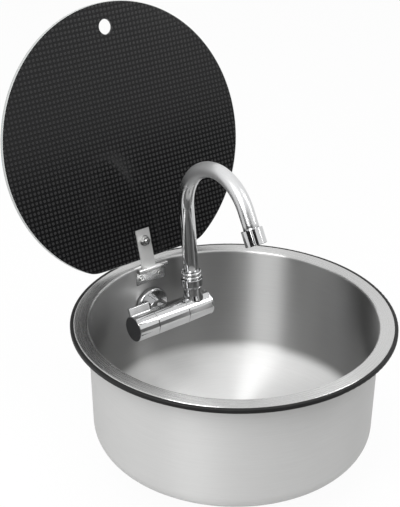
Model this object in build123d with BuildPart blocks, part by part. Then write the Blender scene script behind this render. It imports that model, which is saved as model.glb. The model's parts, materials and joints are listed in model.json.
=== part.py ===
from build123d import *

import os
from math import cos, radians, sin, sqrt

# Round drop-in sink for a motor home: a pressed steel bowl with a rubber rim seal,
# a glass lid on a leaf hinge, a wall-mounted tap whose riser folds down into the
# bowl, and a strainer waste with a rubber plug.
#
# Millimetres, +Z up. The origin is on the bowl's axis, in the plane of the worktop
# that the rim seal rests on. The hinge, the tap and the waste's outlet are on the
# +Y side, and the hinge's pin and the tap's body lie along X.

# ---------------------------------------------------------------- clearances
RUNNING = 0.05          # radial gap of a shaft that turns in its hole
SEAM = 0.4              # axial gap between neighbours that turn against each other
LOOSE = 0.3             # gap round pieces that must not touch

# ---------------------------------------------------------------- bowl
SHEET = 1.0             # thickness of the pressed steel
WALL_R = 180.5          # inner radius of the wall at the mouth
FLANGE_W = 19.5         # flange, from the wall's inner face to its edge
FLANGE_TOP = 6.0        # the flange's upper face above the worktop
LIP_DROP = 3.0          # how far the flange's edge is turned down
LIP_BEND_R = 2.0
MOUTH_BEND_R = 4.0
UPRIGHT_WALL = 36.0     # height of the wall below the flange that has no draft
WALL_TAPER = 2.5        # how far the drafted wall draws in
BOWL_DEPTH = 168.0      # from the flange's upper face to the underside of the floor
CORNER_R = 26.0         # inner radius between wall and floor
FLOOR_FALL = 2.0        # slope of the floor towards the waste
WASTE_HOLE_R = 31.0
RECESS_SHELF = 10.5     # flat ring round the waste's hole
RECESS_DEPTH = 3.5
RECESS_BEND_R = 1.5

# ---------------------------------------------------------------- rim seal
SEAL_LAP = 12.0         # how far the seal reaches in under the flange
SEAL_PROUD = 4.0        # bulb that shows outside the flange
SEAL_STEP = 0.4         # the bulb's top below the flange's upper face
SEAL_EDGE_R = 1.4

# ---------------------------------------------------------------- lid and hinge
HINGE_INSET = 5.5       # the pin's axis from the wall
HINGE_DROP = 5.0        # the pin's axis below the flange's upper face
LID_OPEN = 106.0        # angle between the closed and the open lid
LID_LAP = 5.5           # how far the closed lid reaches over the flange
GLASS_T = 5.0
LID_CLEAR = 0.3         # the closed glass above the flange
CHORD_FROM_PIN = 14.0   # straight edge of the glass
CHORD_CORNER_R = 3.0
GLASS_EDGE = 0.6        # ground chamfer all round the glass
FINGER_HOLE_R = 9.8
FINGER_HOLE_MARGIN = 35.3   # the hole's centre from the glass's edge
PIN_R = 2.3
KNUCKLE_R = 3.6
BARREL_W = 46.5         # over all three knuckles
BARREL_X = 1.2          # the barrel's middle, to the right of the bowl's middle
KNUCKLE_W = 22.8        # middle knuckle, which belongs to the strap
KNUCKLE_GAP = 0.3
STRAP_W = 21.4
STRAP_X = -2.6          # the strap's middle, to the left of the bowl's middle
STRAP_T = 1.6
STRAP_END = 54.7        # from the pin's axis to the strap's free end
STRAP_TURN = 9.0        # where the strap starts to roll into its knuckle
STRAP_CORNER_R = 1.0
PAD_T = 0.8             # soft pad between strap and glass
PAD_END = 15.0          # the pad's end by the hinge, from the pin's axis
LEAF_T = 1.25           # fixed leaf, screwed to the wall
LEAF_W = 46.8
LEAF_DROP = 22.0        # its foot below the pin's axis
LEAF_SCREW_EDGE = 8.6   # its screws from its sides
LEAF_SCREW_DROP = 13.0
LEAF_SCREW_R = 1.95
LEAF_SCREW_HOLE_R = 2.2
LEAF_HEAD_R = 3.6
LEAF_HEAD_H = 2.2
LEAF_NUT_FLATS = 7.0
LEAF_NUT_H = 3.2
LEAF_SCREW_PROUD = 1.2  # thread that shows past its nut
BOLT_FROM_PIN = 39.0    # the lid's bolt, from the pin's axis
BOLT_R = 3.0
BOLT_HOLE_R = 3.4
BOLT_HEAD_R = 7.5
BOLT_HEAD_H = 2.6
BOLT_PROUD = 2.2
NYLON_T = 0.8
NYLON_R = 8.0
WASHER_T = 1.2
WASHER_R = 7.2
LID_NUT_FLATS = 10.0
LID_NUT_H = 5.0

# ---------------------------------------------------------------- tap on the wall
TAP_REACH = 44.5        # from the wall at the mouth to the axis of the tap's body
TAP_DROP = 61.6         # that axis below the flange's upper face
TAP_R = 17.9            # outer radius of knob, body, swivel block and cap
BODY_X0 = -27.8         # body, from the knob's seam to the block's seam
BODY_X1 = 21.8
STUB_R = 13.0           # round neck between body and wall
CUP_R = 24.5            # cup-shaped cover on the wall
CUP_H = 8.0
CUP_EDGE_R = 3.0
GASKET_T = 1.0
SHANK_R = 10.48         # half-inch pipe thread
SHANK_CLEAR = 0.52      # round the shank in the wall
SHANK_LENGTH = 40.0     # from the wall's inner face outwards
SHANK_BORE_R = 6.0
SHANK_END = 20.0        # thread for the hose's nut, beyond the relief
RELIEF_W = 2.0          # relief in the thread, between backnut and hose
RELIEF_DEPTH = 0.9
BACK_RUBBER_R = 18.0
BACK_RUBBER_T = 4.0
BACK_WASHER_R = 17.0
BACK_WASHER_T = 1.5
BACKNUT_FLATS = 30.0
BACKNUT_H = 9.0
SPIGOT_R = 11.0         # the swivel block turns on it
SPIGOT_BORE_R = 5.0
PORT_R = 3.5            # side ports of the spigot, under the riser
GROOVE_DEPTH = 1.6
GROOVE_W = 2.2
O_RING_R = 0.75         # radius of the ring's round section
O_RING_INSET = 8.2      # the first ring from the body's shoulder
O_RING_END = 4.0        # the second ring from the spigot's end
CARTRIDGE_R = 12.0
CARTRIDGE_LENGTH = 17.6
CARTRIDGE_NUT_LIP = 3.5     # wall of the body round the cartridge's nut
CARTRIDGE_NUT_T = 3.7
CHAMBER_R = 8.0
CHAMBER_X1 = 10.0
SPINDLE_R = 4.0
SPINDLE_IN_BODY = 14.8
SPINDLE_IN_KNOB = 15.8

# ---------------------------------------------------------------- knob
KNOB_W = 31.3
FIN_REACH = 10.4        # finger tab along the knob, above its round face
FIN_ROOT = 2.9          # the tab's foot below that face
FIN_T = 4.5
FIN_TILT = 23.0         # from upright, towards the wall
FIN_EDGE_R = 1.2
EDGE = 0.6              # chamfer on turned edges
KNOB_RIM = 1.3          # rim of the knob round its cap
KNOB_CAP_T = 1.2
KNOB_SCREW_R = 1.5
KNOB_SCREW_HEAD_R = 3.5
KNOB_SCREW_HEAD_H = 2.5
KNOB_SCREW_DEPTH = 6.5  # the head's seat, from the knob's free end
KNOB_SCREW_BITE = 7.0   # thread in the spindle

# ---------------------------------------------------------------- swivel block
BLOCK_W = 36.2
RISER_INSET = 18.8      # the riser's axis from the block's seam
SPIGOT_SHORT = 3.4      # the spigot's end inside the block's end
COUNTERBORE_R = 14.0
PORT_CHAMBER_R = 13.0   # groove in the block round the spigot's ports
PORT_CHAMBER_W = 10.0
KEEPER_R = 13.0         # washer that holds the block on its spigot
KEEPER_T = 1.2
KEEPER_SCREW_R = 3.0
KEEPER_HEAD_R = 5.0
KEEPER_HEAD_H = 2.8
KEEPER_SCREW_LENGTH = 9.0
END_CAP_T = 4.5
END_CAP_GROOVE = 0.6    # depth and half width of the ring groove
END_CAP_LIP = 1.6
END_CAP_WALL = 1.6

# ---------------------------------------------------------------- riser and spout
RISER_LEAN = 6.5        # the raised riser leans back towards the lid
TUBE_R = 10.4
TUBE_T = 1.1
NECK_WALL = 2.2         # neck of the block round the tube
NECK_FLARE = 1.6        # how much wider the neck is at its foot
NECK_FLARE_FOOT = 14.0  # distances along the riser are from the tap's axis
NECK_FLARE_TOP = 20.0
NECK_TOP = 39.0
NECK_PASSAGE_R = 8.5
TUBE_FOOT = 20.0
SEAL_SEAT_W = 1.5
SEAL_SEAT_H = 3.5
NUT_FOOT = 31.0
NUT_TOP = 43.4
NUT_WALL = 2.3
NUT_LIP_T = 3.3
BUSH_T = 0.7
COLLAR_H = 10.6
COLLAR_T = 1.9
BEAD_R = 1.9            # two round beads on the collar
BEAD_PITCH = 5.6
BEND_START = 144.5
BEND_R = 66.0
BEND_ANGLE = 157.0
NOZZLE_START = 22.0     # distances along the nozzle are from the bend's end
NOZZLE_LENGTH = 21.0
NOZZLE_R = 14.0
TUBE_END = 33.0
NOZZLE_WALL = 1.6
NOZZLE_WASHER_T = 1.5
INSERT_CLEAR = 0.1
INSERT_T = 7.2
INSERT_HOLE_R = 1.0
INSERT_HOLES = (6, 12)          # in the inner and the outer ring
INSERT_RING_R = (3.6, 7.2)

# ---------------------------------------------------------------- waste
WASTE_GASKET_T = 1.0
WASTE_FLANGE_GAP = 1.0  # from the waste's flange to the recess's step
WASTE_SHEET = 1.0
STRAINER_CLEAR = 2.0    # round the strainer's cup in the waste's hole
STRAINER_TAPER = 1.0
STRAINER_DEPTH = 13.5
STRAINER_BEND_R = 1.5
STRAINER_HOLE_R = 2.6
STRAINER_HOLES = (6, 12)        # in the inner and the outer ring
STRAINER_RING_R = (10.0, 18.5)
WASTE_SCREW_R = 3.0
WASTE_SCREW_HEAD_R = 5.5
WASTE_SCREW_HEAD_H = 2.5
WASTE_SCREW_LENGTH = 19.0
TRAP_FLANGE_T = 2.5     # plastic cup under the bowl
TRAP_FLANGE_LAP = 0.5
TRAP_GASKET_T = 1.5
TRAP_MOUTH_STEP = 0.6   # the cup's mouth is this much smaller than the waste's hole
TRAP_WALL = 2.6
TRAP_HEIGHT = 34.0
TRAP_BOSS_R = 6.0
OUTLET_R = 12.5         # spigot for a 25 mm hose
OUTLET_WALL = 2.5
OUTLET_LENGTH = 43.0    # from the cup's wall
STOP_R = 15.0           # collar that the hose is pushed up to
STOP_GAP = 2.5          # from the cup's wall to the collar
STOP_T = 2.5
BARB_STEP = 0.8
BARB_LENGTH = 5.0
BARB_COUNT = 3
PLUG_LAP = 5.0          # the plug's flange on the strainer's rim
PLUG_FLANGE_T = 2.5
PLUG_CLEAR = 0.8        # round the plug in the strainer's mouth
PLUG_TAPER = 0.4
PLUG_DEPTH = 9.0
PLUG_NECK_R = 4.0
PLUG_KNOB_R = 8.5
PLUG_KNOB_H = 13.0

# ---------------------------------------------------------------- worked out
FLANGE_R = WALL_R + FLANGE_W
WALL_R_FOOT = WALL_R - WALL_TAPER
UPRIGHT_Z = FLANGE_TOP - UPRIGHT_WALL
FLOOR_Z = FLANGE_TOP - BOWL_DEPTH + SHEET
DRAFT = WALL_TAPER / (UPRIGHT_Z - FLOOR_Z)
RECESS_Z = FLOOR_Z - FLOOR_FALL - RECESS_DEPTH
RECESS_FOOT_R = WASTE_HOLE_R + RECESS_SHELF
RECESS_R = RECESS_FOOT_R + RECESS_DEPTH
SEAL_R_IN = FLANGE_R - SEAL_LAP
SEAL_R_OUT = FLANGE_R + SEAL_PROUD
SEAL_BULB_TOP = FLANGE_TOP - SEAL_STEP
HINGE_Y = WALL_R - HINGE_INSET
HINGE_Z = FLANGE_TOP - HINGE_DROP
LID_R = WALL_R + LID_LAP
CHORD_Y = HINGE_Y - CHORD_FROM_PIN
FINGER_HOLE_Y = LID_R - FINGER_HOLE_MARGIN
KNUCKLE_BORE_R = PIN_R + RUNNING
GLASS_UNDER = FLANGE_TOP + LID_CLEAR - HINGE_Z      # heights over the pin's axis
STRAP_TOP = GLASS_UNDER - PAD_T
STRAP_UNDER = STRAP_TOP - STRAP_T
GLASS_TOP = GLASS_UNDER + GLASS_T
LEAF_FOOT_Z = HINGE_Z - LEAF_DROP
LEAF_SCREW_X = LEAF_W / 2 - LEAF_SCREW_EDGE
LEAF_SCREW_Z = HINGE_Z - LEAF_SCREW_DROP
TAP_Y = WALL_R - TAP_REACH
TAP_Z = FLANGE_TOP - TAP_DROP
SHANK_HOLE_R = SHANK_R + SHANK_CLEAR
CARTRIDGE_NUT_R = TAP_R - CARTRIDGE_NUT_LIP
KNOB_X1 = BODY_X0 - SEAM
KNOB_X0 = KNOB_X1 - KNOB_W
KNOB_CAP_R = TAP_R - KNOB_RIM
FIN_TIP_R = TAP_R + FIN_REACH
FIN_ROOT_R = TAP_R - FIN_ROOT
SPINDLE_X0 = KNOB_X1 - SPINDLE_IN_KNOB
SPINDLE_X1 = BODY_X0 + SPINDLE_IN_BODY
KNOB_SCREW_HEAD_X = KNOB_X0 + KNOB_SCREW_DEPTH
KNOB_SCREW_X1 = SPINDLE_X0 + KNOB_SCREW_BITE
BLOCK_X0 = BODY_X1 + SEAM
BLOCK_X1 = BLOCK_X0 + BLOCK_W
RISER_X = BLOCK_X0 + RISER_INSET
SPIGOT_X1 = BLOCK_X1 - SPIGOT_SHORT
GROOVE_R = SPIGOT_R - GROOVE_DEPTH
O_RING_X = (BODY_X1 + O_RING_INSET, SPIGOT_X1 - O_RING_END)
END_CAP_X1 = BLOCK_X1 + END_CAP_T
TUBE_BORE_R = TUBE_R - TUBE_T
NECK_R = TUBE_R + NECK_WALL
NECK_FLARE_R = NECK_R + NECK_FLARE
SEAL_SEAT_R = TUBE_R + SEAL_SEAT_W
SEAL_SEAT_FOOT = NECK_TOP - SEAL_SEAT_H
NUT_R = NECK_R + NUT_WALL
COLLAR_FOOT = NUT_TOP + SEAM
COLLAR_TOP = COLLAR_FOOT + COLLAR_H
COLLAR_R = TUBE_R + COLLAR_T
NOZZLE_END = NOZZLE_START + NOZZLE_LENGTH
NOZZLE_BORE_R = NOZZLE_R - NOZZLE_WALL
INSERT_R = NOZZLE_BORE_R - INSERT_CLEAR
FROM_BASE = (Align.CENTER, Align.CENTER, Align.MIN)

# Waste, from the hole outwards and from the recess down.
WASTE_FLANGE_R = RECESS_FOOT_R - WASTE_FLANGE_GAP
STRAINER_R = WASTE_HOLE_R - STRAINER_CLEAR - WASTE_SHEET
STRAINER_R_FOOT = STRAINER_R - STRAINER_TAPER
TRAP_INNER_R = WASTE_HOLE_R - TRAP_MOUTH_STEP
TRAP_R = TRAP_INNER_R + TRAP_WALL
TRAP_FLANGE_R = RECESS_FOOT_R + TRAP_FLANGE_LAP
OUTLET_BORE_R = OUTLET_R - OUTLET_WALL
OUTLET_END_Y = TRAP_R + OUTLET_LENGTH
BARB_ROOT_R = OUTLET_R - BARB_STEP
BARBS_Y = OUTLET_END_Y - BARB_COUNT * BARB_LENGTH
STOP_Y = TRAP_R + STOP_GAP
PLUG_R = STRAINER_R - PLUG_CLEAR
PLUG_R_FOOT = PLUG_R - PLUG_TAPER
PLUG_FLANGE_R = STRAINER_R + PLUG_LAP
WASTE_TOP = RECESS_Z + WASTE_GASKET_T + WASTE_SHEET
STRAINER_Z = WASTE_TOP - STRAINER_DEPTH
TRAP_TOP = RECESS_Z - SHEET - TRAP_GASKET_T
TRAP_FOOT = TRAP_TOP - TRAP_HEIGHT
OUTLET_Z = TRAP_FOOT + TRAP_WALL + OUTLET_BORE_R

# Frames of the groups. LID is the closed lid's own frame, turned to where it stands
# open: its x runs along the pin, its y towards the hinge and its z out of the lid's
# upper face. Turned pieces have their profile in a plane whose x is their axis.
open_angle = radians(LID_OPEN)
lean_angle = radians(RISER_LEAN)
bend_angle = radians(BEND_ANGLE)
HINGE_POINT = (0, HINGE_Y, HINGE_Z)
LID = Plane(origin=HINGE_POINT, x_dir=(1, 0, 0), z_dir=(0, sin(open_angle), cos(open_angle)))
LID_SIDE = Plane(origin=HINGE_POINT, x_dir=LID.y_dir, z_dir=(1, 0, 0))
PIN_END = Plane(origin=HINGE_POINT, z_dir=(1, 0, 0)).offset(BARREL_X - BARREL_W / 2)
BOLT_POINT = LID.from_local_coords(Vector(STRAP_X, -BOLT_FROM_PIN, 0))
BOLT = Plane(origin=BOLT_POINT, x_dir=(1, 0, 0), z_dir=LID.z_dir)
BOLT_PROFILE = Plane(origin=BOLT_POINT, x_dir=LID.z_dir, z_dir=(1, 0, 0))
BOLT_AXIS = Axis(BOLT_POINT, LID.z_dir)
TAP_POINT = (0, TAP_Y, TAP_Z)
ACROSS = Plane(origin=TAP_POINT, x_dir=(0, 1, 0), z_dir=(1, 0, 0))
TAP_PROFILE = Plane(origin=TAP_POINT, x_dir=(1, 0, 0), z_dir=(0, -1, 0))
TAP_AXIS = Axis(TAP_POINT, (1, 0, 0))
WALL_POINT = (0, 0, TAP_Z)
WALL_SIDE = Plane(origin=WALL_POINT, x_dir=(1, 0, 0), z_dir=(0, 1, 0))
RISER_POINT = (RISER_X, TAP_Y, TAP_Z)
RISER_DIR = Vector(0, sin(lean_angle), cos(lean_angle))
RISER = Plane(origin=RISER_POINT, x_dir=(1, 0, 0), z_dir=RISER_DIR)
RISER_PROFILE = Plane(origin=RISER_POINT, x_dir=RISER_DIR, z_dir=(1, 0, 0))
RISER_AXIS = Axis(RISER_POINT, RISER_DIR)
SPOUT_PLANE = Plane(origin=RISER_POINT, x_dir=-RISER.y_dir, z_dir=(-1, 0, 0))
BEND_REACH = BEND_R * (1 - cos(bend_angle))
BEND_RISE = BEND_START + BEND_R * sin(bend_angle)
BEND_END = SPOUT_PLANE.from_local_coords(Vector(BEND_REACH, BEND_RISE, 0))
NOZZLE_DIR = -RISER.y_dir * sin(bend_angle) + RISER_DIR * cos(bend_angle)
NOZZLE = Plane(origin=BEND_END, x_dir=(1, 0, 0), z_dir=NOZZLE_DIR)
NOZZLE_PROFILE = Plane(origin=BEND_END, x_dir=NOZZLE_DIR, z_dir=(1, 0, 0))
NOZZLE_AXIS = Axis(BEND_END, NOZZLE_DIR)

OUTLET = Plane(origin=(0, 0, OUTLET_Z), x_dir=(1, 0, 0), z_dir=(0, 1, 0))
OUTLET_PROFILE = Plane(origin=(0, 0, OUTLET_Z), x_dir=(0, 1, 0), z_dir=(1, 0, 0))


def wall_radius(z):
    """Inner radius of the wall: upright at the mouth, drafted below."""
    return WALL_R - DRAFT * max(0.0, UPRIGHT_Z - z)


def inside_wall(inset):
    """The bowl's inner space, drawn in from the wall, to cut pieces to the wall's curve."""
    with BuildPart() as space:
        with BuildSketch(Plane.XZ):
            Polygon(
                (0, FLANGE_TOP),
                (WALL_R - inset, FLANGE_TOP),
                (WALL_R - inset, UPRIGHT_Z),
                (WALL_R_FOOT - inset, FLOOR_Z),
                (0, FLOOR_Z),
                align=None,
            )
        revolve(axis=Axis.Z)
    return space.part


def outside_wall():
    """The space round the bowl, to cut pieces to the wall's outer curve."""
    near = SHEET * sqrt(1 + DRAFT ** 2)
    far = WALL_R + 2 * SHANK_LENGTH
    with BuildPart() as space:
        with BuildSketch(Plane.XZ):
            Polygon(
                (WALL_R + near, FLANGE_TOP),
                (far, FLANGE_TOP),
                (far, FLOOR_Z),
                (WALL_R_FOOT + near, FLOOR_Z),
                (WALL_R + near, UPRIGHT_Z),
                align=None,
            )
        revolve(axis=Axis.Z)
    return space.part


def rod(plane, start, end, radius, mode=Mode.ADD):
    """A round rod or bore along a plane's normal, between two distances from it."""
    with Locations(plane.offset(start)):
        Cylinder(radius, end - start, align=FROM_BASE, mode=mode)


INSIDE = inside_wall(0)
OUTSIDE = outside_wall()
UNDER_LEAF = inside_wall(LEAF_T)
UNDER_GASKET = inside_wall(GASKET_T)
tap_wall_y = wall_radius(TAP_Z)
shank_end_y = tap_wall_y + SHANK_LENGTH
RELIEF = WALL_SIDE.offset(shank_end_y - SHANK_END - RELIEF_W)
leaf_screws = [(side * LEAF_SCREW_X, -LEAF_SCREW_Z) for side in (-1, 1)]
LEAF_SIDE = Plane(origin=(0, 0, 0), x_dir=(1, 0, 0), z_dir=(0, 1, 0))

# ================================================================ basin
# Pressed bowl: one sheet runs from the turned-down lip over the flange, down the
# wall, across the floor and into the recess of the waste.
with BuildPart() as bowl:
    with BuildSketch(Plane.XZ):
        with BuildLine():
            FilletPolyline(
                (FLANGE_R, FLANGE_TOP - LIP_DROP),
                (FLANGE_R, FLANGE_TOP),
                (WALL_R, FLANGE_TOP),
                (WALL_R, UPRIGHT_Z),
                (WALL_R_FOOT, FLOOR_Z),
                (RECESS_R, FLOOR_Z - FLOOR_FALL),
                (RECESS_FOOT_R, RECESS_Z),
                (WASTE_HOLE_R, RECESS_Z),
                radius=[LIP_BEND_R, MOUTH_BEND_R, 0, CORNER_R, RECESS_BEND_R, RECESS_BEND_R],
            )
            offset(amount=SHEET, side=Side.LEFT)
        make_face()
    revolve(axis=Axis.Z)
    rod(WALL_SIDE, TAP_Y, shank_end_y, SHANK_HOLE_R, Mode.SUBTRACT)
    with Locations(LEAF_SIDE.offset(TAP_Y)):
        with Locations(*leaf_screws):
            Cylinder(LEAF_SCREW_HOLE_R, SHANK_LENGTH * 2, align=FROM_BASE, mode=Mode.SUBTRACT)

# Rubber seal under the flange, with a bulb that shows outside it and holds its lip.
with BuildPart() as rim_seal:
    with BuildSketch(Plane.XZ) as seal_section:
        Polygon(
            (SEAL_R_IN, 0),
            (SEAL_R_OUT, 0),
            (SEAL_R_OUT, SEAL_BULB_TOP),
            (FLANGE_R, SEAL_BULB_TOP),
            (FLANGE_R, FLANGE_TOP - LIP_DROP),
            (FLANGE_R - SHEET, FLANGE_TOP - LIP_DROP),
            (FLANGE_R - SHEET, FLANGE_TOP - LIP_BEND_R),
            (FLANGE_R - LIP_BEND_R, FLANGE_TOP - SHEET),
            (SEAL_R_IN, FLANGE_TOP - SHEET),
            align=None,
        )
        fillet(seal_section.vertices().group_by(Axis.X)[-1], radius=SEAL_EDGE_R)
    revolve(axis=Axis.Z)

# ---------------------------------------------------------------- fixed half of the hinge
# The leaf is bent to the wall's curve, turned in under the barrel and rolled into
# the two outer knuckles.
leaf_top_z = HINGE_Z - KNUCKLE_BORE_R
knuckle_slot = KNUCKLE_W / 2 + KNUCKLE_GAP
with BuildPart() as hinge_plate:
    with BuildSketch(LEAF_SIDE.offset(TAP_Y)):
        with Locations((0, -(leaf_top_z + LEAF_FOOT_Z) / 2)):
            RectangleRounded(LEAF_W, leaf_top_z - LEAF_FOOT_Z, STRAP_CORNER_R)
    extrude(amount=SHANK_LENGTH * 2)
    add(INSIDE, mode=Mode.INTERSECT)
    add(UNDER_LEAF, mode=Mode.SUBTRACT)
    with BuildSketch(Plane.YZ.offset(BARREL_X)):
        with Locations((HINGE_Y, HINGE_Z)):
            Circle(KNUCKLE_R)
        Polygon(
            (HINGE_Y, HINGE_Z - KNUCKLE_R),
            (WALL_R - LEAF_T, HINGE_Z - KNUCKLE_R),
            (WALL_R - LEAF_T, leaf_top_z),
            (HINGE_Y, leaf_top_z),
            align=None,
        )
        with Locations((HINGE_Y, HINGE_Z)):
            Circle(PIN_R, mode=Mode.SUBTRACT)
    extrude(amount=BARREL_W / 2, both=True)
    with Locations((BARREL_X, HINGE_Y, HINGE_Z)):
        Box(
            2 * knuckle_slot,
            2 * (WALL_R - HINGE_Y),
            2 * (KNUCKLE_R + KNUCKLE_GAP) + LEAF_T,
            mode=Mode.SUBTRACT,
        )
    add(INSIDE, mode=Mode.INTERSECT)
    with Locations(LEAF_SIDE.offset(TAP_Y)):
        with Locations(*leaf_screws):
            Cylinder(LEAF_SCREW_HOLE_R, SHANK_LENGTH * 2, align=FROM_BASE, mode=Mode.SUBTRACT)

with BuildPart() as hinge_pin:
    rod(PIN_END, 0, BARREL_W, PIN_R)

# Pan head screws through leaf and wall, and their nuts on the bowl's outside. Heads
# and nuts sit on the curve of the sheet under them.
leaf_face_y = sqrt((WALL_R - LEAF_T) ** 2 - LEAF_SCREW_X ** 2)
nut_face_y = sqrt((WALL_R + SHEET) ** 2 - LEAF_SCREW_X ** 2)
leaf_nut_top_y = nut_face_y + LEAF_NUT_H
with BuildPart() as hinge_screws:
    with Locations(LEAF_SIDE.offset(leaf_face_y - LEAF_HEAD_H)):
        with Locations(*leaf_screws):
            Cylinder(LEAF_HEAD_R, LEAF_HEAD_H * 2, align=FROM_BASE)
    fillet(hinge_screws.edges().filter_by(GeomType.CIRCLE).group_by(Axis.Y)[0], radius=LEAF_HEAD_H / 2)
    add(UNDER_LEAF, mode=Mode.INTERSECT)
    with Locations(LEAF_SIDE.offset(leaf_face_y - LEAF_HEAD_H / 2)):
        with Locations(*leaf_screws):
            Cylinder(
                LEAF_SCREW_R,
                leaf_nut_top_y + LEAF_SCREW_PROUD - leaf_face_y + LEAF_HEAD_H / 2,
                align=FROM_BASE,
            )

with BuildPart() as hinge_nuts:
    with BuildSketch(LEAF_SIDE.offset(nut_face_y - LEAF_NUT_H)):
        with Locations(*leaf_screws):
            RegularPolygon(LEAF_NUT_FLATS / 2, 6, major_radius=False)
            Circle(LEAF_SCREW_R, mode=Mode.SUBTRACT)
    extrude(amount=2 * LEAF_NUT_H)
    add(OUTSIDE, mode=Mode.INTERSECT)

# ---------------------------------------------------------------- tap, fixed parts
# Gasket and cup-shaped cover, cut to the wall's curve.
with BuildPart() as cup_gasket:
    rod(WALL_SIDE, TAP_Y, shank_end_y, CUP_R - EDGE)
    add(INSIDE, mode=Mode.INTERSECT)
    add(UNDER_GASKET, mode=Mode.SUBTRACT)
    rod(WALL_SIDE, TAP_Y, shank_end_y, SHANK_R, Mode.SUBTRACT)

with BuildPart() as tap_cup:
    rod(WALL_SIDE, tap_wall_y - CUP_H, shank_end_y, CUP_R)
    fillet(tap_cup.edges().filter_by(GeomType.CIRCLE).group_by(Axis.Y)[0], radius=CUP_EDGE_R)
    add(UNDER_GASKET, mode=Mode.INTERSECT)
    rod(WALL_SIDE, TAP_Y, shank_end_y, STUB_R, Mode.SUBTRACT)

# Cast body: the stub ends on the gasket, the shank goes on through the wall, and the
# spigot carries the swivel block. Water passes the shank, the valve's chamber, the
# spigot's bore and its side ports.
body_mouth_x = BODY_X0 + CARTRIDGE_NUT_T + LOOSE
cartridge_x1 = body_mouth_x + CARTRIDGE_LENGTH
with BuildPart() as tap_body:
    rod(WALL_SIDE, TAP_Y, shank_end_y, STUB_R)
    add(UNDER_GASKET, mode=Mode.INTERSECT)
    rod(WALL_SIDE, TAP_Y, shank_end_y, SHANK_R)
    with BuildSketch(TAP_PROFILE):
        Polygon(
            (BODY_X0, 0),
            (BODY_X0, TAP_R - EDGE),
            (BODY_X0 + EDGE, TAP_R),
            (BODY_X1 - EDGE, TAP_R),
            (BODY_X1, TAP_R - EDGE),
            (BODY_X1, SPIGOT_R),
            (SPIGOT_X1, SPIGOT_R),
            (SPIGOT_X1, 0),
            align=None,
        )
        for ring_x in O_RING_X:
            with Locations((ring_x, SPIGOT_R)):
                Rectangle(GROOVE_W, 2 * (SPIGOT_R - GROOVE_R), mode=Mode.SUBTRACT)
    revolve(axis=TAP_AXIS)
    with BuildSketch(RELIEF):
        Circle(SHANK_R)
        Circle(SHANK_R - RELIEF_DEPTH, mode=Mode.SUBTRACT)
    extrude(amount=RELIEF_W, mode=Mode.SUBTRACT)
    rod(WALL_SIDE, TAP_Y, shank_end_y, SHANK_BORE_R, Mode.SUBTRACT)
    rod(ACROSS, BODY_X0, body_mouth_x, CARTRIDGE_NUT_R + LOOSE / 3, Mode.SUBTRACT)
    rod(ACROSS, body_mouth_x, cartridge_x1, CARTRIDGE_R + LOOSE / 3, Mode.SUBTRACT)
    rod(ACROSS, cartridge_x1, CHAMBER_X1, CHAMBER_R, Mode.SUBTRACT)
    rod(ACROSS, CHAMBER_X1, RISER_X + PORT_R, SPIGOT_BORE_R, Mode.SUBTRACT)
    rod(Plane(origin=RISER_POINT), -SPIGOT_R, SPIGOT_R, PORT_R, Mode.SUBTRACT)
    rod(ACROSS, SPIGOT_X1 - KEEPER_SCREW_LENGTH, SPIGOT_X1, KEEPER_SCREW_R, Mode.SUBTRACT)

with BuildPart() as spigot_o_rings:
    for ring_x in O_RING_X:
        with Locations(ACROSS.offset(ring_x)):
            Torus(GROOVE_R + O_RING_R, O_RING_R)

with BuildPart() as valve_cartridge:
    rod(ACROSS, body_mouth_x, cartridge_x1, CARTRIDGE_R)
    rod(ACROSS, body_mouth_x, SPINDLE_X1 + SEAM, SPINDLE_R + RUNNING, Mode.SUBTRACT)

with BuildPart() as cartridge_nut:
    rod(ACROSS, BODY_X0 + LOOSE, body_mouth_x, CARTRIDGE_NUT_R)
    rod(ACROSS, BODY_X0, body_mouth_x, SPINDLE_R + SEAM, Mode.SUBTRACT)

with BuildPart() as keeper_washer:
    rod(ACROSS, SPIGOT_X1, SPIGOT_X1 + KEEPER_T, KEEPER_R)
    rod(ACROSS, SPIGOT_X1, SPIGOT_X1 + KEEPER_T, KEEPER_SCREW_R, Mode.SUBTRACT)

keeper_head_x0 = SPIGOT_X1 + KEEPER_T
keeper_head_x1 = keeper_head_x0 + KEEPER_HEAD_H
with BuildPart() as keeper_screw:
    rod(ACROSS, keeper_head_x0, keeper_head_x1, KEEPER_HEAD_R)
    fillet(keeper_screw.edges().filter_by(GeomType.CIRCLE).group_by(Axis.X)[-1], radius=EDGE)
    rod(ACROSS, SPIGOT_X1 - KEEPER_SCREW_LENGTH, keeper_head_x0, KEEPER_SCREW_R)

# Rubber ring, washer and backnut hold the tap from outside the bowl.
back_rubber_y = tap_wall_y + SHEET + BACK_RUBBER_T
back_washer_y = back_rubber_y + BACK_WASHER_T
with BuildPart() as back_rubber:
    rod(WALL_SIDE, TAP_Y, back_rubber_y, BACK_RUBBER_R)
    add(OUTSIDE, mode=Mode.INTERSECT)
    rod(WALL_SIDE, TAP_Y, back_rubber_y, SHANK_R, Mode.SUBTRACT)

with BuildPart() as back_washer:
    rod(WALL_SIDE, back_rubber_y, back_washer_y, BACK_WASHER_R)
    rod(WALL_SIDE, back_rubber_y, back_washer_y, SHANK_R, Mode.SUBTRACT)

with BuildPart() as backnut:
    with BuildSketch(WALL_SIDE.offset(back_washer_y)):
        RegularPolygon(BACKNUT_FLATS / 2, 6, major_radius=False)
        Circle(SHANK_R, mode=Mode.SUBTRACT)
    extrude(amount=BACKNUT_H)

# ---------------------------------------------------------------- waste
with BuildPart() as waste_gasket:
    rod(Plane.XY, RECESS_Z, RECESS_Z + WASTE_GASKET_T, WASTE_FLANGE_R)
    rod(Plane.XY, RECESS_Z, RECESS_Z + WASTE_GASKET_T, WASTE_HOLE_R, Mode.SUBTRACT)

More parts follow.
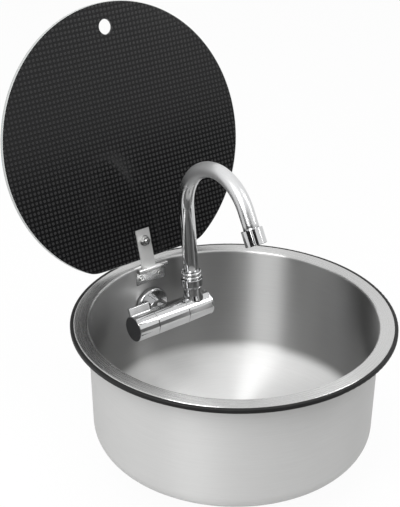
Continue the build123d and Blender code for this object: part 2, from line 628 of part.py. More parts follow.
# Strainer pressed from sheet: flange, tapered cup and a floor with rings of holes.
with BuildPart() as strainer:
    with BuildSketch(Plane.XZ):
        with BuildLine():
            FilletPolyline(
                (WASTE_FLANGE_R, WASTE_TOP),
                (STRAINER_R, WASTE_TOP),
                (STRAINER_R_FOOT, STRAINER_Z),
                (WASTE_SCREW_R, STRAINER_Z),
                radius=[STRAINER_BEND_R, STRAINER_BEND_R],
            )
            offset(amount=WASTE_SHEET, side=Side.LEFT)
        make_face()
    revolve(axis=Axis.Z)
    for hole_count, ring_r in zip(STRAINER_HOLES, STRAINER_RING_R):
        with Locations((0, 0, STRAINER_Z - WASTE_SHEET)):
            with PolarLocations(ring_r, hole_count):
                Cylinder(STRAINER_HOLE_R, WASTE_SHEET, align=FROM_BASE, mode=Mode.SUBTRACT)

with BuildPart() as trap_gasket:
    rod(Plane.XY, TRAP_TOP, TRAP_TOP + TRAP_GASKET_T, RECESS_FOOT_R)
    rod(Plane.XY, TRAP_TOP, TRAP_TOP + TRAP_GASKET_T, WASTE_HOLE_R, Mode.SUBTRACT)

# Plastic cup under the bowl, with a side outlet whose barbs hold a hose.
with BuildPart() as trap_cup:
    with BuildSketch(Plane.XZ):
        Polygon(
            (0, TRAP_FOOT),
            (TRAP_R, TRAP_FOOT),
            (TRAP_R, TRAP_TOP - TRAP_FLANGE_T),
            (TRAP_FLANGE_R, TRAP_TOP - TRAP_FLANGE_T),
            (TRAP_FLANGE_R, TRAP_TOP),
            (0, TRAP_TOP),
            align=None,
        )
    revolve(axis=Axis.Z)
    with BuildSketch(OUTLET_PROFILE):
        Polygon((0, 0), (0, OUTLET_R), (BARBS_Y, OUTLET_R), (BARBS_Y, 0), align=None)
        Polygon((STOP_Y, 0), (STOP_Y, STOP_R), (STOP_Y + STOP_T, STOP_R), (STOP_Y + STOP_T, 0), align=None)
        for barb in range(BARB_COUNT):
            foot = BARBS_Y + barb * BARB_LENGTH
            tip = foot + BARB_LENGTH
            Polygon((foot, 0), (foot, OUTLET_R), (tip, BARB_ROOT_R), (tip, 0), align=None)
    revolve(axis=Axis((0, 0, OUTLET_Z), (0, 1, 0)))
    rod(Plane.XY, TRAP_FOOT + TRAP_WALL, TRAP_TOP, TRAP_INNER_R, Mode.SUBTRACT)
    rod(OUTLET, 0, OUTLET_END_Y, OUTLET_BORE_R, Mode.SUBTRACT)
    rod(Plane.XY, TRAP_FOOT + TRAP_WALL, STRAINER_Z - WASTE_SHEET, TRAP_BOSS_R)
    rod(Plane.XY, STRAINER_Z - WASTE_SCREW_LENGTH, STRAINER_Z, WASTE_SCREW_R, Mode.SUBTRACT)

with BuildPart() as waste_screw:
    rod(Plane.XY, STRAINER_Z, STRAINER_Z + WASTE_SCREW_HEAD_H, WASTE_SCREW_HEAD_R)
    head_rim = waste_screw.edges().filter_by(GeomType.CIRCLE).group_by(Axis.Z)[-1]
    fillet(head_rim, radius=WASTE_SCREW_HEAD_H / 2)
    rod(Plane.XY, STRAINER_Z - WASTE_SCREW_LENGTH, STRAINER_Z, WASTE_SCREW_R)

# ================================================================ lid
# Round glass with one straight edge at the hinge, a finger hole opposite it and a
# hole for the strap's bolt.
with BuildPart() as lid_glass:
    with BuildSketch(LID.offset(GLASS_UNDER)) as glass_outline:
        with Locations((0, -HINGE_Y)):
            Circle(LID_R)
        with Locations((0, CHORD_Y - HINGE_Y)):
            Rectangle(2 * LID_R, LID_R, align=(Align.CENTER, Align.MIN), mode=Mode.SUBTRACT)
        fillet(glass_outline.vertices(), radius=CHORD_CORNER_R)
        with Locations((0, -HINGE_Y - FINGER_HOLE_Y)):
            Circle(FINGER_HOLE_R, mode=Mode.SUBTRACT)
        with Locations((STRAP_X, -BOLT_FROM_PIN)):
            Circle(BOLT_HOLE_R, mode=Mode.SUBTRACT)
    extrude(amount=GLASS_T)
    chamfer(lid_glass.faces().sort_by(SortBy.AREA)[-2:].edges(), length=GLASS_EDGE)

# Moving leaf of the hinge: a strap on the lid's underside, rolled round the pin.
with BuildPart() as lid_strap:
    with BuildSketch(LID_SIDE.offset(BARREL_X)):
        Circle(KNUCKLE_R)
    extrude(amount=KNUCKLE_W / 2, both=True)
    with BuildSketch(LID_SIDE.offset(STRAP_X)):
        Polygon(
            (-STRAP_END, STRAP_UNDER),
            (-STRAP_END, STRAP_TOP),
            (-STRAP_TURN, STRAP_TOP),
            (0, KNUCKLE_R),
            (0, STRAP_UNDER - LEAF_T / 2),
            (-STRAP_TURN, STRAP_UNDER),
            align=None,
        )
    extrude(amount=STRAP_W / 2, both=True)
    for side in (-1, 1):
        knuckle_side = BARREL_X + side * (KNUCKLE_W / 2 + BARREL_W / 4)
        with Locations((knuckle_side, HINGE_Y, HINGE_Z)):
            Box(BARREL_W / 2, 2 * KNUCKLE_R + 1, 2 * KNUCKLE_R + 1, mode=Mode.SUBTRACT)
    rod(PIN_END, 0, BARREL_W, KNUCKLE_BORE_R, Mode.SUBTRACT)
    with Locations(LID.offset(STRAP_UNDER)):
        with Locations((STRAP_X, -BOLT_FROM_PIN)):
            Cylinder(BOLT_HOLE_R, STRAP_T, align=FROM_BASE, mode=Mode.SUBTRACT)

with BuildPart() as strap_pad:
    with BuildSketch(LID.offset(STRAP_TOP)):
        with Locations((STRAP_X, -PAD_END)):
            Rectangle(STRAP_W, STRAP_END - PAD_END, align=(Align.CENTER, Align.MAX))
        with Locations((STRAP_X, -BOLT_FROM_PIN)):
            Circle(BOLT_HOLE_R, mode=Mode.SUBTRACT)
    extrude(amount=PAD_T)

# The bolt comes down through glass, pad and strap. Its profile's x runs out of the
# lid's upper face, from the level of the pin's axis.
bolt_head_foot = GLASS_TOP + NYLON_T
lid_nut_top = STRAP_UNDER - WASHER_T
lid_nut_foot = lid_nut_top - LID_NUT_H
with BuildPart() as lid_bolt:
    with BuildSketch(BOLT_PROFILE):
        with BuildLine():
            Polyline(
                (bolt_head_foot, BOLT_HEAD_R),
                (bolt_head_foot, BOLT_R),
                (lid_nut_foot - BOLT_PROUD, BOLT_R),
                (lid_nut_foot - BOLT_PROUD, 0),
                (bolt_head_foot + BOLT_HEAD_H, 0),
            )
            ThreePointArc(
                (bolt_head_foot + BOLT_HEAD_H, 0),
                (bolt_head_foot + BOLT_HEAD_H * 0.72, BOLT_HEAD_R * 0.62),
                (bolt_head_foot, BOLT_HEAD_R),
            )
        make_face()
    revolve(axis=BOLT_AXIS)
    chamfer(lid_bolt.edges().filter_by(GeomType.CIRCLE).sort_by(BOLT_AXIS)[0], length=EDGE)

with BuildPart() as nylon_washer:
    rod(BOLT, GLASS_TOP, bolt_head_foot, NYLON_R)
    rod(BOLT, GLASS_TOP, bolt_head_foot, BOLT_R, Mode.SUBTRACT)

with BuildPart() as lid_washer:
    rod(BOLT, lid_nut_top, STRAP_UNDER, WASHER_R)
    rod(BOLT, lid_nut_top, STRAP_UNDER, BOLT_R, Mode.SUBTRACT)

with BuildPart() as lid_nut:
    with BuildSketch(BOLT.offset(lid_nut_foot)):
        RegularPolygon(LID_NUT_FLATS / 2, 6, major_radius=False)
        Circle(BOLT_R, mode=Mode.SUBTRACT)
    extrude(amount=LID_NUT_H)

# ================================================================ knob
with BuildPart() as tap_knob:
    with BuildSketch(TAP_PROFILE):
        Polygon(
            (KNOB_X0, 0),
            (KNOB_X0, TAP_R - EDGE),
            (KNOB_X0 + EDGE, TAP_R),
            (KNOB_X1 - EDGE, TAP_R),
            (KNOB_X1, TAP_R - EDGE),
            (KNOB_X1, 0),
            align=None,
        )
    revolve(axis=TAP_AXIS)
    with BuildSketch(ACROSS.offset(KNOB_X0)):
        with PolarLocations((FIN_ROOT_R + FIN_TIP_R) / 2, 1, start_angle=90 - FIN_TILT):
            RectangleRounded(FIN_TIP_R - FIN_ROOT_R, FIN_T, FIN_EDGE_R)
    extrude(amount=KNOB_X1 - KNOB_X0)
    rod(ACROSS, KNOB_X0, KNOB_X0 + KNOB_CAP_T, KNOB_CAP_R + RUNNING, Mode.SUBTRACT)
    rod(ACROSS, KNOB_X0, KNOB_SCREW_HEAD_X, KNOB_SCREW_HEAD_R + LOOSE, Mode.SUBTRACT)
    rod(ACROSS, KNOB_SCREW_HEAD_X, SPINDLE_X0, KNOB_SCREW_R, Mode.SUBTRACT)
    rod(ACROSS, SPINDLE_X0, KNOB_X1, SPINDLE_R, Mode.SUBTRACT)

with BuildPart() as knob_cap:
    rod(ACROSS, KNOB_X0, KNOB_X0 + KNOB_CAP_T, KNOB_CAP_R)

with BuildPart() as valve_spindle:
    rod(ACROSS, SPINDLE_X0, SPINDLE_X1, SPINDLE_R)
    rod(ACROSS, SPINDLE_X0, KNOB_SCREW_X1, KNOB_SCREW_R, Mode.SUBTRACT)

with BuildPart() as knob_screw:
    rod(ACROSS, KNOB_SCREW_HEAD_X - KNOB_SCREW_HEAD_H, KNOB_SCREW_HEAD_X, KNOB_SCREW_HEAD_R)
    rod(ACROSS, KNOB_SCREW_HEAD_X, KNOB_SCREW_X1, KNOB_SCREW_R)

# ================================================================ swivel block
# The block turns on the body's spigot. Its neck carries the riser, and the water
# reaches it from a groove round the spigot's ports.
with BuildPart() as swivel_block:
    with BuildSketch(TAP_PROFILE):
        Polygon(
            (BLOCK_X0, 0),
            (BLOCK_X0, TAP_R - EDGE),
            (BLOCK_X0 + EDGE, TAP_R),
            (BLOCK_X1, TAP_R),
            (BLOCK_X1, 0),
            align=None,
        )
    revolve(axis=TAP_AXIS)
    with BuildSketch(RISER_PROFILE):
        Polygon(
            (0, 0),
            (0, NECK_FLARE_R),
            (NECK_FLARE_FOOT, NECK_FLARE_R),
            (NECK_FLARE_TOP, NECK_R),
            (NECK_TOP, NECK_R),
            (NECK_TOP, 0),
            align=None,
        )
    revolve(axis=RISER_AXIS)
    rod(ACROSS, BLOCK_X0, BLOCK_X1, SPIGOT_R + RUNNING, Mode.SUBTRACT)
    rod(ACROSS, RISER_X - PORT_CHAMBER_W / 2, RISER_X + PORT_CHAMBER_W / 2, PORT_CHAMBER_R, Mode.SUBTRACT)
    rod(ACROSS, SPIGOT_X1 - RUNNING, BLOCK_X1, COUNTERBORE_R, Mode.SUBTRACT)
    rod(RISER, SPIGOT_R, TUBE_FOOT - SEAM, NECK_PASSAGE_R, Mode.SUBTRACT)
    rod(RISER, TUBE_FOOT - SEAM, SEAL_SEAT_FOOT, TUBE_R + RUNNING, Mode.SUBTRACT)
    rod(RISER, SEAL_SEAT_FOOT, NECK_TOP, SEAL_SEAT_R, Mode.SUBTRACT)

# Cap on the block's end, with a ring groove and a lip inside the counterbore.
cap_x0 = BLOCK_X1
groove_x = (cap_x0 + END_CAP_X1) / 2
with BuildPart() as end_cap:
    with BuildSketch(TAP_PROFILE):
        Polygon(
            (cap_x0 - END_CAP_LIP, 0),
            (cap_x0 - END_CAP_LIP, COUNTERBORE_R),
            (cap_x0, COUNTERBORE_R),
            (cap_x0, TAP_R),
            (groove_x - END_CAP_GROOVE, TAP_R),
            (groove_x, TAP_R - END_CAP_GROOVE),
            (groove_x + END_CAP_GROOVE, TAP_R),
            (END_CAP_X1 - EDGE, TAP_R),
            (END_CAP_X1, TAP_R - EDGE),
            (END_CAP_X1, 0),
            align=None,
        )
    revolve(axis=TAP_AXIS)
    cap_bore_r = COUNTERBORE_R - END_CAP_WALL
    rod(ACROSS, cap_x0 - END_CAP_LIP, END_CAP_X1 - END_CAP_WALL, cap_bore_r, Mode.SUBTRACT)

with BuildPart() as neck_seal:
    rod(RISER, SEAL_SEAT_FOOT, NECK_TOP, SEAL_SEAT_R)
    rod(RISER, SEAL_SEAT_FOOT, NECK_TOP, TUBE_R + RUNNING, Mode.SUBTRACT)

# Union nut round the neck. Its lip holds the bush that is fixed on the tube.
nut_bore_top = NUT_TOP - NUT_LIP_T
nut_round = (NUT_TOP - NUT_FOOT) / 5
with BuildPart() as riser_nut:
    with BuildSketch(RISER_PROFILE):
        Polygon(
            (NUT_FOOT, NECK_R),
            (NUT_FOOT, NUT_R - nut_round + EDGE),
            (NUT_FOOT + nut_round, NUT_R - EDGE / 2),
            (NUT_TOP - EDGE, NUT_R),
            (NUT_TOP, NUT_R - EDGE),
            (NUT_TOP, TUBE_R + LOOSE),
            (nut_bore_top, TUBE_R + LOOSE),
            (nut_bore_top, NECK_R),
            align=None,
        )
    revolve(axis=RISER_AXIS)

# ================================================================ spout
# One bent tube: straight riser, a wide bend and a short straight end.
with BuildPart() as spout_tube:
    with BuildLine(SPOUT_PLANE) as spout_path:
        riser_line = Line((0, TUBE_FOOT), (0, BEND_START))
        bend = JernArc(riser_line @ 1, riser_line % 1, BEND_R, -BEND_ANGLE)
        PolarLine(bend @ 1, TUBE_END, direction=bend % 1)
    with BuildSketch(RISER.offset(TUBE_FOOT)):
        Circle(TUBE_R)
        Circle(TUBE_BORE_R, mode=Mode.SUBTRACT)
    sweep(path=spout_path.wires()[0])

# Bush inside the union nut and the collar with two beads above it, both fixed on
# the tube.
bush_foot = (NECK_TOP + nut_bore_top - BUSH_T) / 2
with BuildPart() as spout_bush:
    rod(RISER, bush_foot, bush_foot + BUSH_T, NECK_R - RUNNING)
    rod(RISER, bush_foot, bush_foot + BUSH_T, TUBE_R, Mode.SUBTRACT)

with BuildPart() as spout_collar:
    with BuildSketch(RISER_PROFILE):
        with Locations(((COLLAR_FOOT + COLLAR_TOP) / 2, TUBE_R)):
            Rectangle(COLLAR_TOP - COLLAR_FOOT, COLLAR_R - TUBE_R, align=(Align.CENTER, Align.MIN))
        for side in (-1, 1):
            with Locations(((COLLAR_FOOT + COLLAR_TOP + side * BEAD_PITCH) / 2, TUBE_R + BEAD_R)):
                Circle(BEAD_R)
    revolve(axis=RISER_AXIS)

# ---------------------------------------------------------------- nozzle
with BuildPart() as nozzle_housing:
    with BuildSketch(NOZZLE_PROFILE):
        Polygon(
            (NOZZLE_START, TUBE_R),
            (NOZZLE_START, NOZZLE_R - EDGE),
            (NOZZLE_START + EDGE, NOZZLE_R),
            (NOZZLE_END - EDGE, NOZZLE_R),
            (NOZZLE_END, NOZZLE_R - EDGE),
            (NOZZLE_END, NOZZLE_BORE_R),
            (TUBE_END, NOZZLE_BORE_R),
            (TUBE_END, TUBE_R),
            align=None,
        )
    revolve(axis=NOZZLE_AXIS)

insert_foot = TUBE_END + NOZZLE_WASHER_T
with BuildPart() as nozzle_washer:
    rod(NOZZLE, TUBE_END, insert_foot, INSERT_R)
    rod(NOZZLE, TUBE_END, insert_foot, TUBE_BORE_R, Mode.SUBTRACT)

with BuildPart() as nozzle_insert:
    rod(NOZZLE, insert_foot, insert_foot + INSERT_T, INSERT_R)
    rod(NOZZLE, insert_foot, insert_foot + INSERT_T, INSERT_HOLE_R, Mode.SUBTRACT)
    for hole_count, ring_r in zip(INSERT_HOLES, INSERT_RING_R):
        with Locations(NOZZLE.offset(insert_foot)):
            with PolarLocations(ring_r, hole_count):
                Cylinder(INSERT_HOLE_R, INSERT_T, align=FROM_BASE, mode=Mode.SUBTRACT)

# ================================================================ plug
# Rubber plug: a flange on the strainer's rim, a tapered body and a pull knob.
plug_seat_z = WASTE_TOP + RUNNING
plug_top_z = plug_seat_z + PLUG_FLANGE_T
with BuildPart() as drain_plug:
    with BuildSketch(Plane.XZ):
        Polygon(
            (0, plug_seat_z - PLUG_DEPTH),
            (PLUG_R_FOOT - EDGE, plug_seat_z - PLUG_DEPTH),
            (PLUG_R_FOOT, plug_seat_z - PLUG_DEPTH + EDGE),
            (PLUG_R, plug_seat_z - STRAINER_BEND_R),
            (PLUG_R, plug_seat_z),
            (PLUG_FLANGE_R, plug_seat_z),
            (PLUG_FLANGE_R, plug_seat_z + PLUG_FLANGE_T / 2),
            (PLUG_FLANGE_R - PLUG_FLANGE_T, plug_top_z),
            (PLUG_NECK_R, plug_top_z),
            (PLUG_NECK_R, plug_top_z + PLUG_KNOB_H / 3),
            (PLUG_KNOB_R, plug_top_z + PLUG_KNOB_H / 2),
            (PLUG_KNOB_R, plug_top_z + PLUG_KNOB_H * 0.8),
            (PLUG_KNOB_R - 2 * EDGE, plug_top_z + PLUG_KNOB_H),
            (0, plug_top_z + PLUG_KNOB_H),
            align=None,
        )
    revolve(axis=Axis.Z)

# ================================================================ export
os.makedirs("parts", exist_ok=True)

bowl.part.label = "bowl"
export_step(bowl.part, "parts/bowl.step")

rim_seal.part.label = "rim_seal"
export_step(rim_seal.part, "parts/rim_seal.step")

hinge_plate.part.label = "hinge_plate"
export_step(hinge_plate.part, "parts/hinge_plate.step")

hinge_pin.part.label = "hinge_pin"
export_step(hinge_pin.part, "parts/hinge_pin.step")

hinge_screws.part.label = "hinge_screws"
export_step(hinge_screws.part, "parts/hinge_screws.step")

hinge_nuts.part.label = "hinge_nuts"
export_step(hinge_nuts.part, "parts/hinge_nuts.step")

cup_gasket.part.label = "cup_gasket"
export_step(cup_gasket.part, "parts/cup_gasket.step")

tap_cup.part.label = "tap_cup"
export_step(tap_cup.part, "parts/tap_cup.step")

tap_body.part.label = "tap_body"
export_step(tap_body.part, "parts/tap_body.step")

spigot_o_rings.part.label = "spigot_o_rings"
export_step(spigot_o_rings.part, "parts/spigot_o_rings.step")

valve_cartridge.part.label = "valve_cartridge"
export_step(valve_cartridge.part, "parts/valve_cartridge.step")

cartridge_nut.part.label = "cartridge_nut"
export_step(cartridge_nut.part, "parts/cartridge_nut.step")

keeper_washer.part.label = "keeper_washer"
export_step(keeper_washer.part, "parts/keeper_washer.step")

keeper_screw.part.label = "keeper_screw"
export_step(keeper_screw.part, "parts/keeper_screw.step")

back_rubber.part.label = "back_rubber"
export_step(back_rubber.part, "parts/back_rubber.step")

back_washer.part.label = "back_washer"
export_step(back_washer.part, "parts/back_washer.step")

backnut.part.label = "backnut"
export_step(backnut.part, "parts/backnut.step")

waste_gasket.part.label = "waste_gasket"
export_step(waste_gasket.part, "parts/waste_gasket.step")

strainer.part.label = "strainer"
export_step(strainer.part, "parts/strainer.step")

trap_gasket.part.label = "trap_gasket"
export_step(trap_gasket.part, "parts/trap_gasket.step")

trap_cup.part.label = "trap_cup"
export_step(trap_cup.part, "parts/trap_cup.step")

waste_screw.part.label = "waste_screw"
export_step(waste_screw.part, "parts/waste_screw.step")

lid_glass.part.label = "lid_glass"
export_step(lid_glass.part, "parts/lid_glass.step")

lid_strap.part.label = "lid_strap"
export_step(lid_strap.part, "parts/lid_strap.step")

strap_pad.part.label = "strap_pad"
export_step(strap_pad.part, "parts/strap_pad.step")

lid_bolt.part.label = "lid_bolt"
export_step(lid_bolt.part, "parts/lid_bolt.step")

nylon_washer.part.label = "nylon_washer"
export_step(nylon_washer.part, "parts/nylon_washer.step")

lid_washer.part.label = "lid_washer"
export_step(lid_washer.part, "parts/lid_washer.step")

lid_nut.part.label = "lid_nut"
export_step(lid_nut.part, "parts/lid_nut.step")

tap_knob.part.label = "tap_knob"
export_step(tap_knob.part, "parts/tap_knob.step")

knob_cap.part.label = "knob_cap"
export_step(knob_cap.part, "parts/knob_cap.step")

valve_spindle.part.label = "valve_spindle"
export_step(valve_spindle.part, "parts/valve_spindle.step")

knob_screw.part.label = "knob_screw"
export_step(knob_screw.part, "parts/knob_screw.step")

swivel_block.part.label = "swivel_block"
export_step(swivel_block.part, "parts/swivel_block.step")

end_cap.part.label = "end_cap"
export_step(end_cap.part, "parts/end_cap.step")

neck_seal.part.label = "neck_seal"
export_step(neck_seal.part, "parts/neck_seal.step")

riser_nut.part.label = "riser_nut"
export_step(riser_nut.part, "parts/riser_nut.step")

spout_tube.part.label = "spout_tube"
export_step(spout_tube.part, "parts/spout_tube.step")

spout_bush.part.label = "spout_bush"
export_step(spout_bush.part, "parts/spout_bush.step")

spout_collar.part.label = "spout_collar"
export_step(spout_collar.part, "parts/spout_collar.step")

nozzle_housing.part.label = "nozzle_housing"
export_step(nozzle_housing.part, "parts/nozzle_housing.step")

nozzle_washer.part.label = "nozzle_washer"
export_step(nozzle_washer.part, "parts/nozzle_washer.step")

nozzle_insert.part.label = "nozzle_insert"
export_step(nozzle_insert.part, "parts/nozzle_insert.step")

drain_plug.part.label = "drain_plug"
export_step(drain_plug.part, "parts/drain_plug.step")
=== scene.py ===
"""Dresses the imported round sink: steel, chrome, dark glass, rubber and the studio round it.

Every length is in metres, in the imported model's own frame: +Z up, the origin on the bowl's
axis in the worktop's plane, the hinge and the tap towards +Y.
"""

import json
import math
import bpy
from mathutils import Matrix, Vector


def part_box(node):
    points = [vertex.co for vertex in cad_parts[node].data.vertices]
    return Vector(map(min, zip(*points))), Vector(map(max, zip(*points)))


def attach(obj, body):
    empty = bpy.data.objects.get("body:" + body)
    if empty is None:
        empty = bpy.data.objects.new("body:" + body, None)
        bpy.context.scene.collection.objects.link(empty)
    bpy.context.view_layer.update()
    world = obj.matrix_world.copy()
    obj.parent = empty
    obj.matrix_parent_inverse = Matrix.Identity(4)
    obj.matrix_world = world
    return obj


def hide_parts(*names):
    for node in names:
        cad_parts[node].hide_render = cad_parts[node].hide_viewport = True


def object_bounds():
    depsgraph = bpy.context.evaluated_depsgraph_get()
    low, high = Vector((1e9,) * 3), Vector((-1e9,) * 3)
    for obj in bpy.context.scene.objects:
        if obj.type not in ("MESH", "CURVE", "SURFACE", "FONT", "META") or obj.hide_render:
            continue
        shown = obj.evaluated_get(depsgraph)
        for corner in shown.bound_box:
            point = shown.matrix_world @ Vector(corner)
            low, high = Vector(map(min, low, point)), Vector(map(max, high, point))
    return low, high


bl_info = {
    "name": "Round sink with glass lid",
    "version": (1, 0, 0),
    "blender": (4, 5, 0),
    "location": "View3D > Sidebar > Round Sink",
    "description": "Finishes, fine pieces and a studio for a round sink with a glass lid and a tap",
    "category": "Object",
}

import bmesh
import bpy
import numpy as np
from bpy.props import FloatProperty, FloatVectorProperty, IntProperty, PointerProperty
from mathutils import Matrix, Vector

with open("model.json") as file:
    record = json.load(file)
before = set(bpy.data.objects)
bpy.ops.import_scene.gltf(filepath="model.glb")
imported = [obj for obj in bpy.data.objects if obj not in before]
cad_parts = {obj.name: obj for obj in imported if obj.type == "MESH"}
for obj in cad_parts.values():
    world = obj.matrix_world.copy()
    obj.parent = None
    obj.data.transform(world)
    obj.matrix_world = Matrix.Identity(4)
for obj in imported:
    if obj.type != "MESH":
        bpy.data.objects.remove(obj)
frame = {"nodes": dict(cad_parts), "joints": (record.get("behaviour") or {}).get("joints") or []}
CAD_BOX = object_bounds()
NODES = frame["nodes"]

# The frames of the groups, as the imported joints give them.
JOINTS = {joint["name"]: joint for joint in frame["joints"]}
HINGE_POINT = np.array(JOINTS["lid_hinge"]["pos_m"])
SHANK_POINT = np.array([0.0, 0.0, JOINTS["tap_fold"]["pos_m"][2]])
RISER_POINT = np.array(JOINTS["spout_swivel"]["pos_m"])
RISER_DIR = np.array(JOINTS["spout_swivel"]["axis"])
RISER_DIR = RISER_DIR / np.linalg.norm(RISER_DIR)
LID_OPEN = math.radians(JOINTS["lid_hinge"]["range_deg"][1])
LID_OUT = np.array([0.0, math.sin(LID_OPEN), math.cos(LID_OPEN)])
LID_BACK = np.array([0.0, math.cos(LID_OPEN), -math.sin(LID_OPEN)])
ORIGIN = np.zeros(3)
ALONG_X, ALONG_Y, ALONG_Z = np.eye(3)

# The camera, fitted to the object's round edges: its place and its own three directions.
CAMERA_AT = (-0.85975, -1.04169, 0.79375)
CAMERA_RIGHT = Vector((0.79202587, -0.61047719, 0.00355203))
CAMERA_UP = Vector((0.2782176, 0.36612302, 0.88800276))
CAMERA_FORWARD = Vector((0.54340591, 0.70233293, -0.4598244))
# Its bearing from the object, seen from above.
TO_CAMERA = math.atan2(CAMERA_AT[1], CAMERA_AT[0])

# The black cards: name, bearings from the camera's side and heights in degrees, distance.
CARDS = (
    ("card_front_left", (-60, -3), (-24, 20), 2.5),
    ("card_front_right", (3, 34), (-24, 30), 2.5),
    ("card_right", (34, 84), (-24, 9), 2.5),
)
# Points along each side of a card, and how far above the floor a card stays.
CARD_STEPS, CARD_LIFT = 25, 0.004
# The lamps: name, bearing and height in degrees, distance, width and height, radiance, mirrored.
LAMPS = (
    ("lamp_top", 0, 85, 1.7, (1.4, 1.4), 3.2, False),
    ("lamp_left", -29, 38, 1.6, (0.72, 1.2), 6.6, True),
    ("lamp_right", 88, 40, 1.8, (0.25, 1.2), 6.0, True),
)
LAMPS_AIM = Vector((0, 0, -0.02))
# The floor's radius, the steps of its edge, and how white the camera sees it.
FLOOR_RADIUS, FLOOR_STEPS, FLOOR_WHITE = 4.0, 96, 0.95

# The bowl's section: the lip's depth, the straight wall under the flange, the floor's fall
# towards the waste, the recess there, how far each corner is rounded and in how many steps.
LIP_DEPTH = 0.003
STRAIGHT_WALL = 0.036
FLOOR_FALL = 0.002
RECESS_DEPTH = 0.0055
RECESS_MOUTH, RECESS_FOOT = 0.045, 0.0415
BOWL_ROUNDING = (0.002, 0.004, 0.0, 0.026, 0.0015, 0.0015)
CORNER_STEPS = 14

# The tube's lower end over the tap's axis, and where its straight part has rows.
TUBE_FOOT = 0.020
RISER_ROWS = (0.0, 0.05, 0.1)

# Where the glass has rows, in parts of the way from its hole to its outline, and the steps of
# its rounded edge.
PANE_ROWS = (0.004, *np.linspace(0.05, 0.95, 9), 0.996)
BEVEL_STEPS = 6
# How soft the ground rim's inner edge is, and where, in from the back, the rim darkens.
RIM_SOFT = 0.0001
RIM_DARKENS = (-0.0016, -0.0010)

# A screw's cross recess, in parts of its head's radius, and of the head's height for its depth.
CROSS_REACH, CROSS_WIDTH, CROSS_SLOPE, CROSS_DEPTH = 0.62, 0.13, 0.07, 0.55
# Rows of points on a screw's head and on the head's rounded edge, and its steps round.
HEAD_ROWS, EDGE_ROWS, SCREW_STEPS = 34, 8, 96
# A screw's tip, its length and its end in parts of the thread's radius, and how far a hinge
# screw's head reaches below its face.
TIP_LENGTH, TIP_END = 0.0002, 0.6
HEAD_SUNK = 0.0005
# Rows of points in one pitch of a thread, and the depth of the small threads and of the
# pipe's in parts of the pitch.
ROWS_PER_PITCH = 8
THREAD_DEPTH, PIPE_THREAD_DEPTH = 0.5, 0.45
# How deep a threaded sleeve's inner skin lies, in parts of the thread's depth.
SLEEVE_DEPTH = 1.6
# How far a sleeve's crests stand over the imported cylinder, and its ends lie inside the piece's.
BOLT_CREST, BOLT_INSET = 0.0004, 0.0003
SHANK_CREST, SHANK_INSET = 0.0006, 0.0004

# Brushed lines on small pieces and on the bowl: how far they are drawn out, and their fineness.
PRESSED_LINES = (14 / 900, 900.0)
BOWL_LINES = (0.016, 1400.0)
# The radius that coordinates are unrolled at.
UNROLLED_AT = 0.18
# Heights between which one finish passes into the next: from the wall to the flange, from the
# floor to the wall, and up the spout for its polish, with the riser's darker painted shade
# fading into the chrome colour, and for its plating.
FLANGE_STARTS = (0.0035, 0.005)
FLOOR_ENDS = (-0.152, -0.132)
POLISH_AND_PAINTED_SHADE_SOFTEN = (0.07, 0.14)
PLATING_SOFTENS = (0.11, 0.17)
# The marks that plated pieces have.
PLATING = {"size": 45.0, "worn": 0.97}


# ---------------------------------------------------------------- settings


def length(name, description, default):
    """A setting that is a length."""
    return FloatProperty(name=name, description=description, default=default, unit="LENGTH")


def colour(name, description, default):
    """A setting that is a colour."""
    return FloatVectorProperty(
        name=name, description=description, default=default, size=3, subtype="COLOR"
    )


class SINK_PG_bowl(bpy.types.PropertyGroup):
    """Sizes of the pressed bowl"""

    sheet: length("Sheet", "Thickness of the steel", 0.001)
    wall_radius: length("Wall radius", "Inner radius of the wall at the mouth", 0.1805)
    flange_width: length("Flange width", "From the wall to the flange's edge", 0.0195)
    flange_top: length("Flange height", "The flange above the worktop", 0.006)
    taper: length("Taper", "How far the wall draws in towards the floor", 0.0025)
    depth: length("Depth", "From the flange to the floor", 0.168)
    waste_hole: length("Waste hole", "Radius of the hole in the floor", 0.031)


class SINK_PG_spout(bpy.types.PropertyGroup):
    """Sizes of the bent spout"""

    tube_radius: length("Tube radius", "Outer radius", 0.0104)
    tube_wall: length("Tube wall", "Wall of the tube", 0.0011)
    straight: length("Straight", "Height of the straight riser over the tap's axis", 0.1445)
    bend_radius: length("Bend radius", "Radius of the bend", 0.066)
    bend_angle: FloatProperty(
        name="Bend angle", description="How far the tube is bent", default=math.radians(157),
        subtype="ANGLE",
    )
    end: length("End", "Straight tube after the bend", 0.033)


class SINK_PG_lid(bpy.types.PropertyGroup):
    """Sizes of the glass lid, in its own plane, out from the hinge pin"""

    radius: length("Radius", "Of the glass", 0.182)
    middle: length("Middle", "The disc's middle from the pin", 0.175)
    straight_edge: length("Straight edge", "The edge by the hinge, from the pin", 0.014)
    front: length("Front", "The strap's side of the glass", 0.0053)
    back: length("Back", "Its other side", 0.0103)
    bevel: length("Bevel", "Rounding of its edges", 0.0006)
    margin: length("Margin", "Bare ground glass at the rim", 0.0007)
    corner: FloatProperty(
        name="Corners", description="Higher is sharper at the straight edge", default=70.0
    )
    hole_at: length("Finger hole", "Its middle from the pin", 0.3257)
    hole_radius: length("Hole radius", "Of the finger hole", 0.0100)
    bolt_side: length("Bolt sideways", "The bolt from the pin's middle", -0.0026)
    bolt_out: length("Bolt out", "The bolt from the pin, along the glass", 0.039)
    bolt_end: length("Bolt end", "The bolt's free end from the pin's plane", 0.0055)
    bolt_radius: length("Bolt radius", "Over the thread", 0.003)
    bolt_shown: length("Bolt shown", "Thread that stands out of the nut", 0.0022)
    bolt_pitch: length("Bolt pitch", "Of its thread", 0.001)


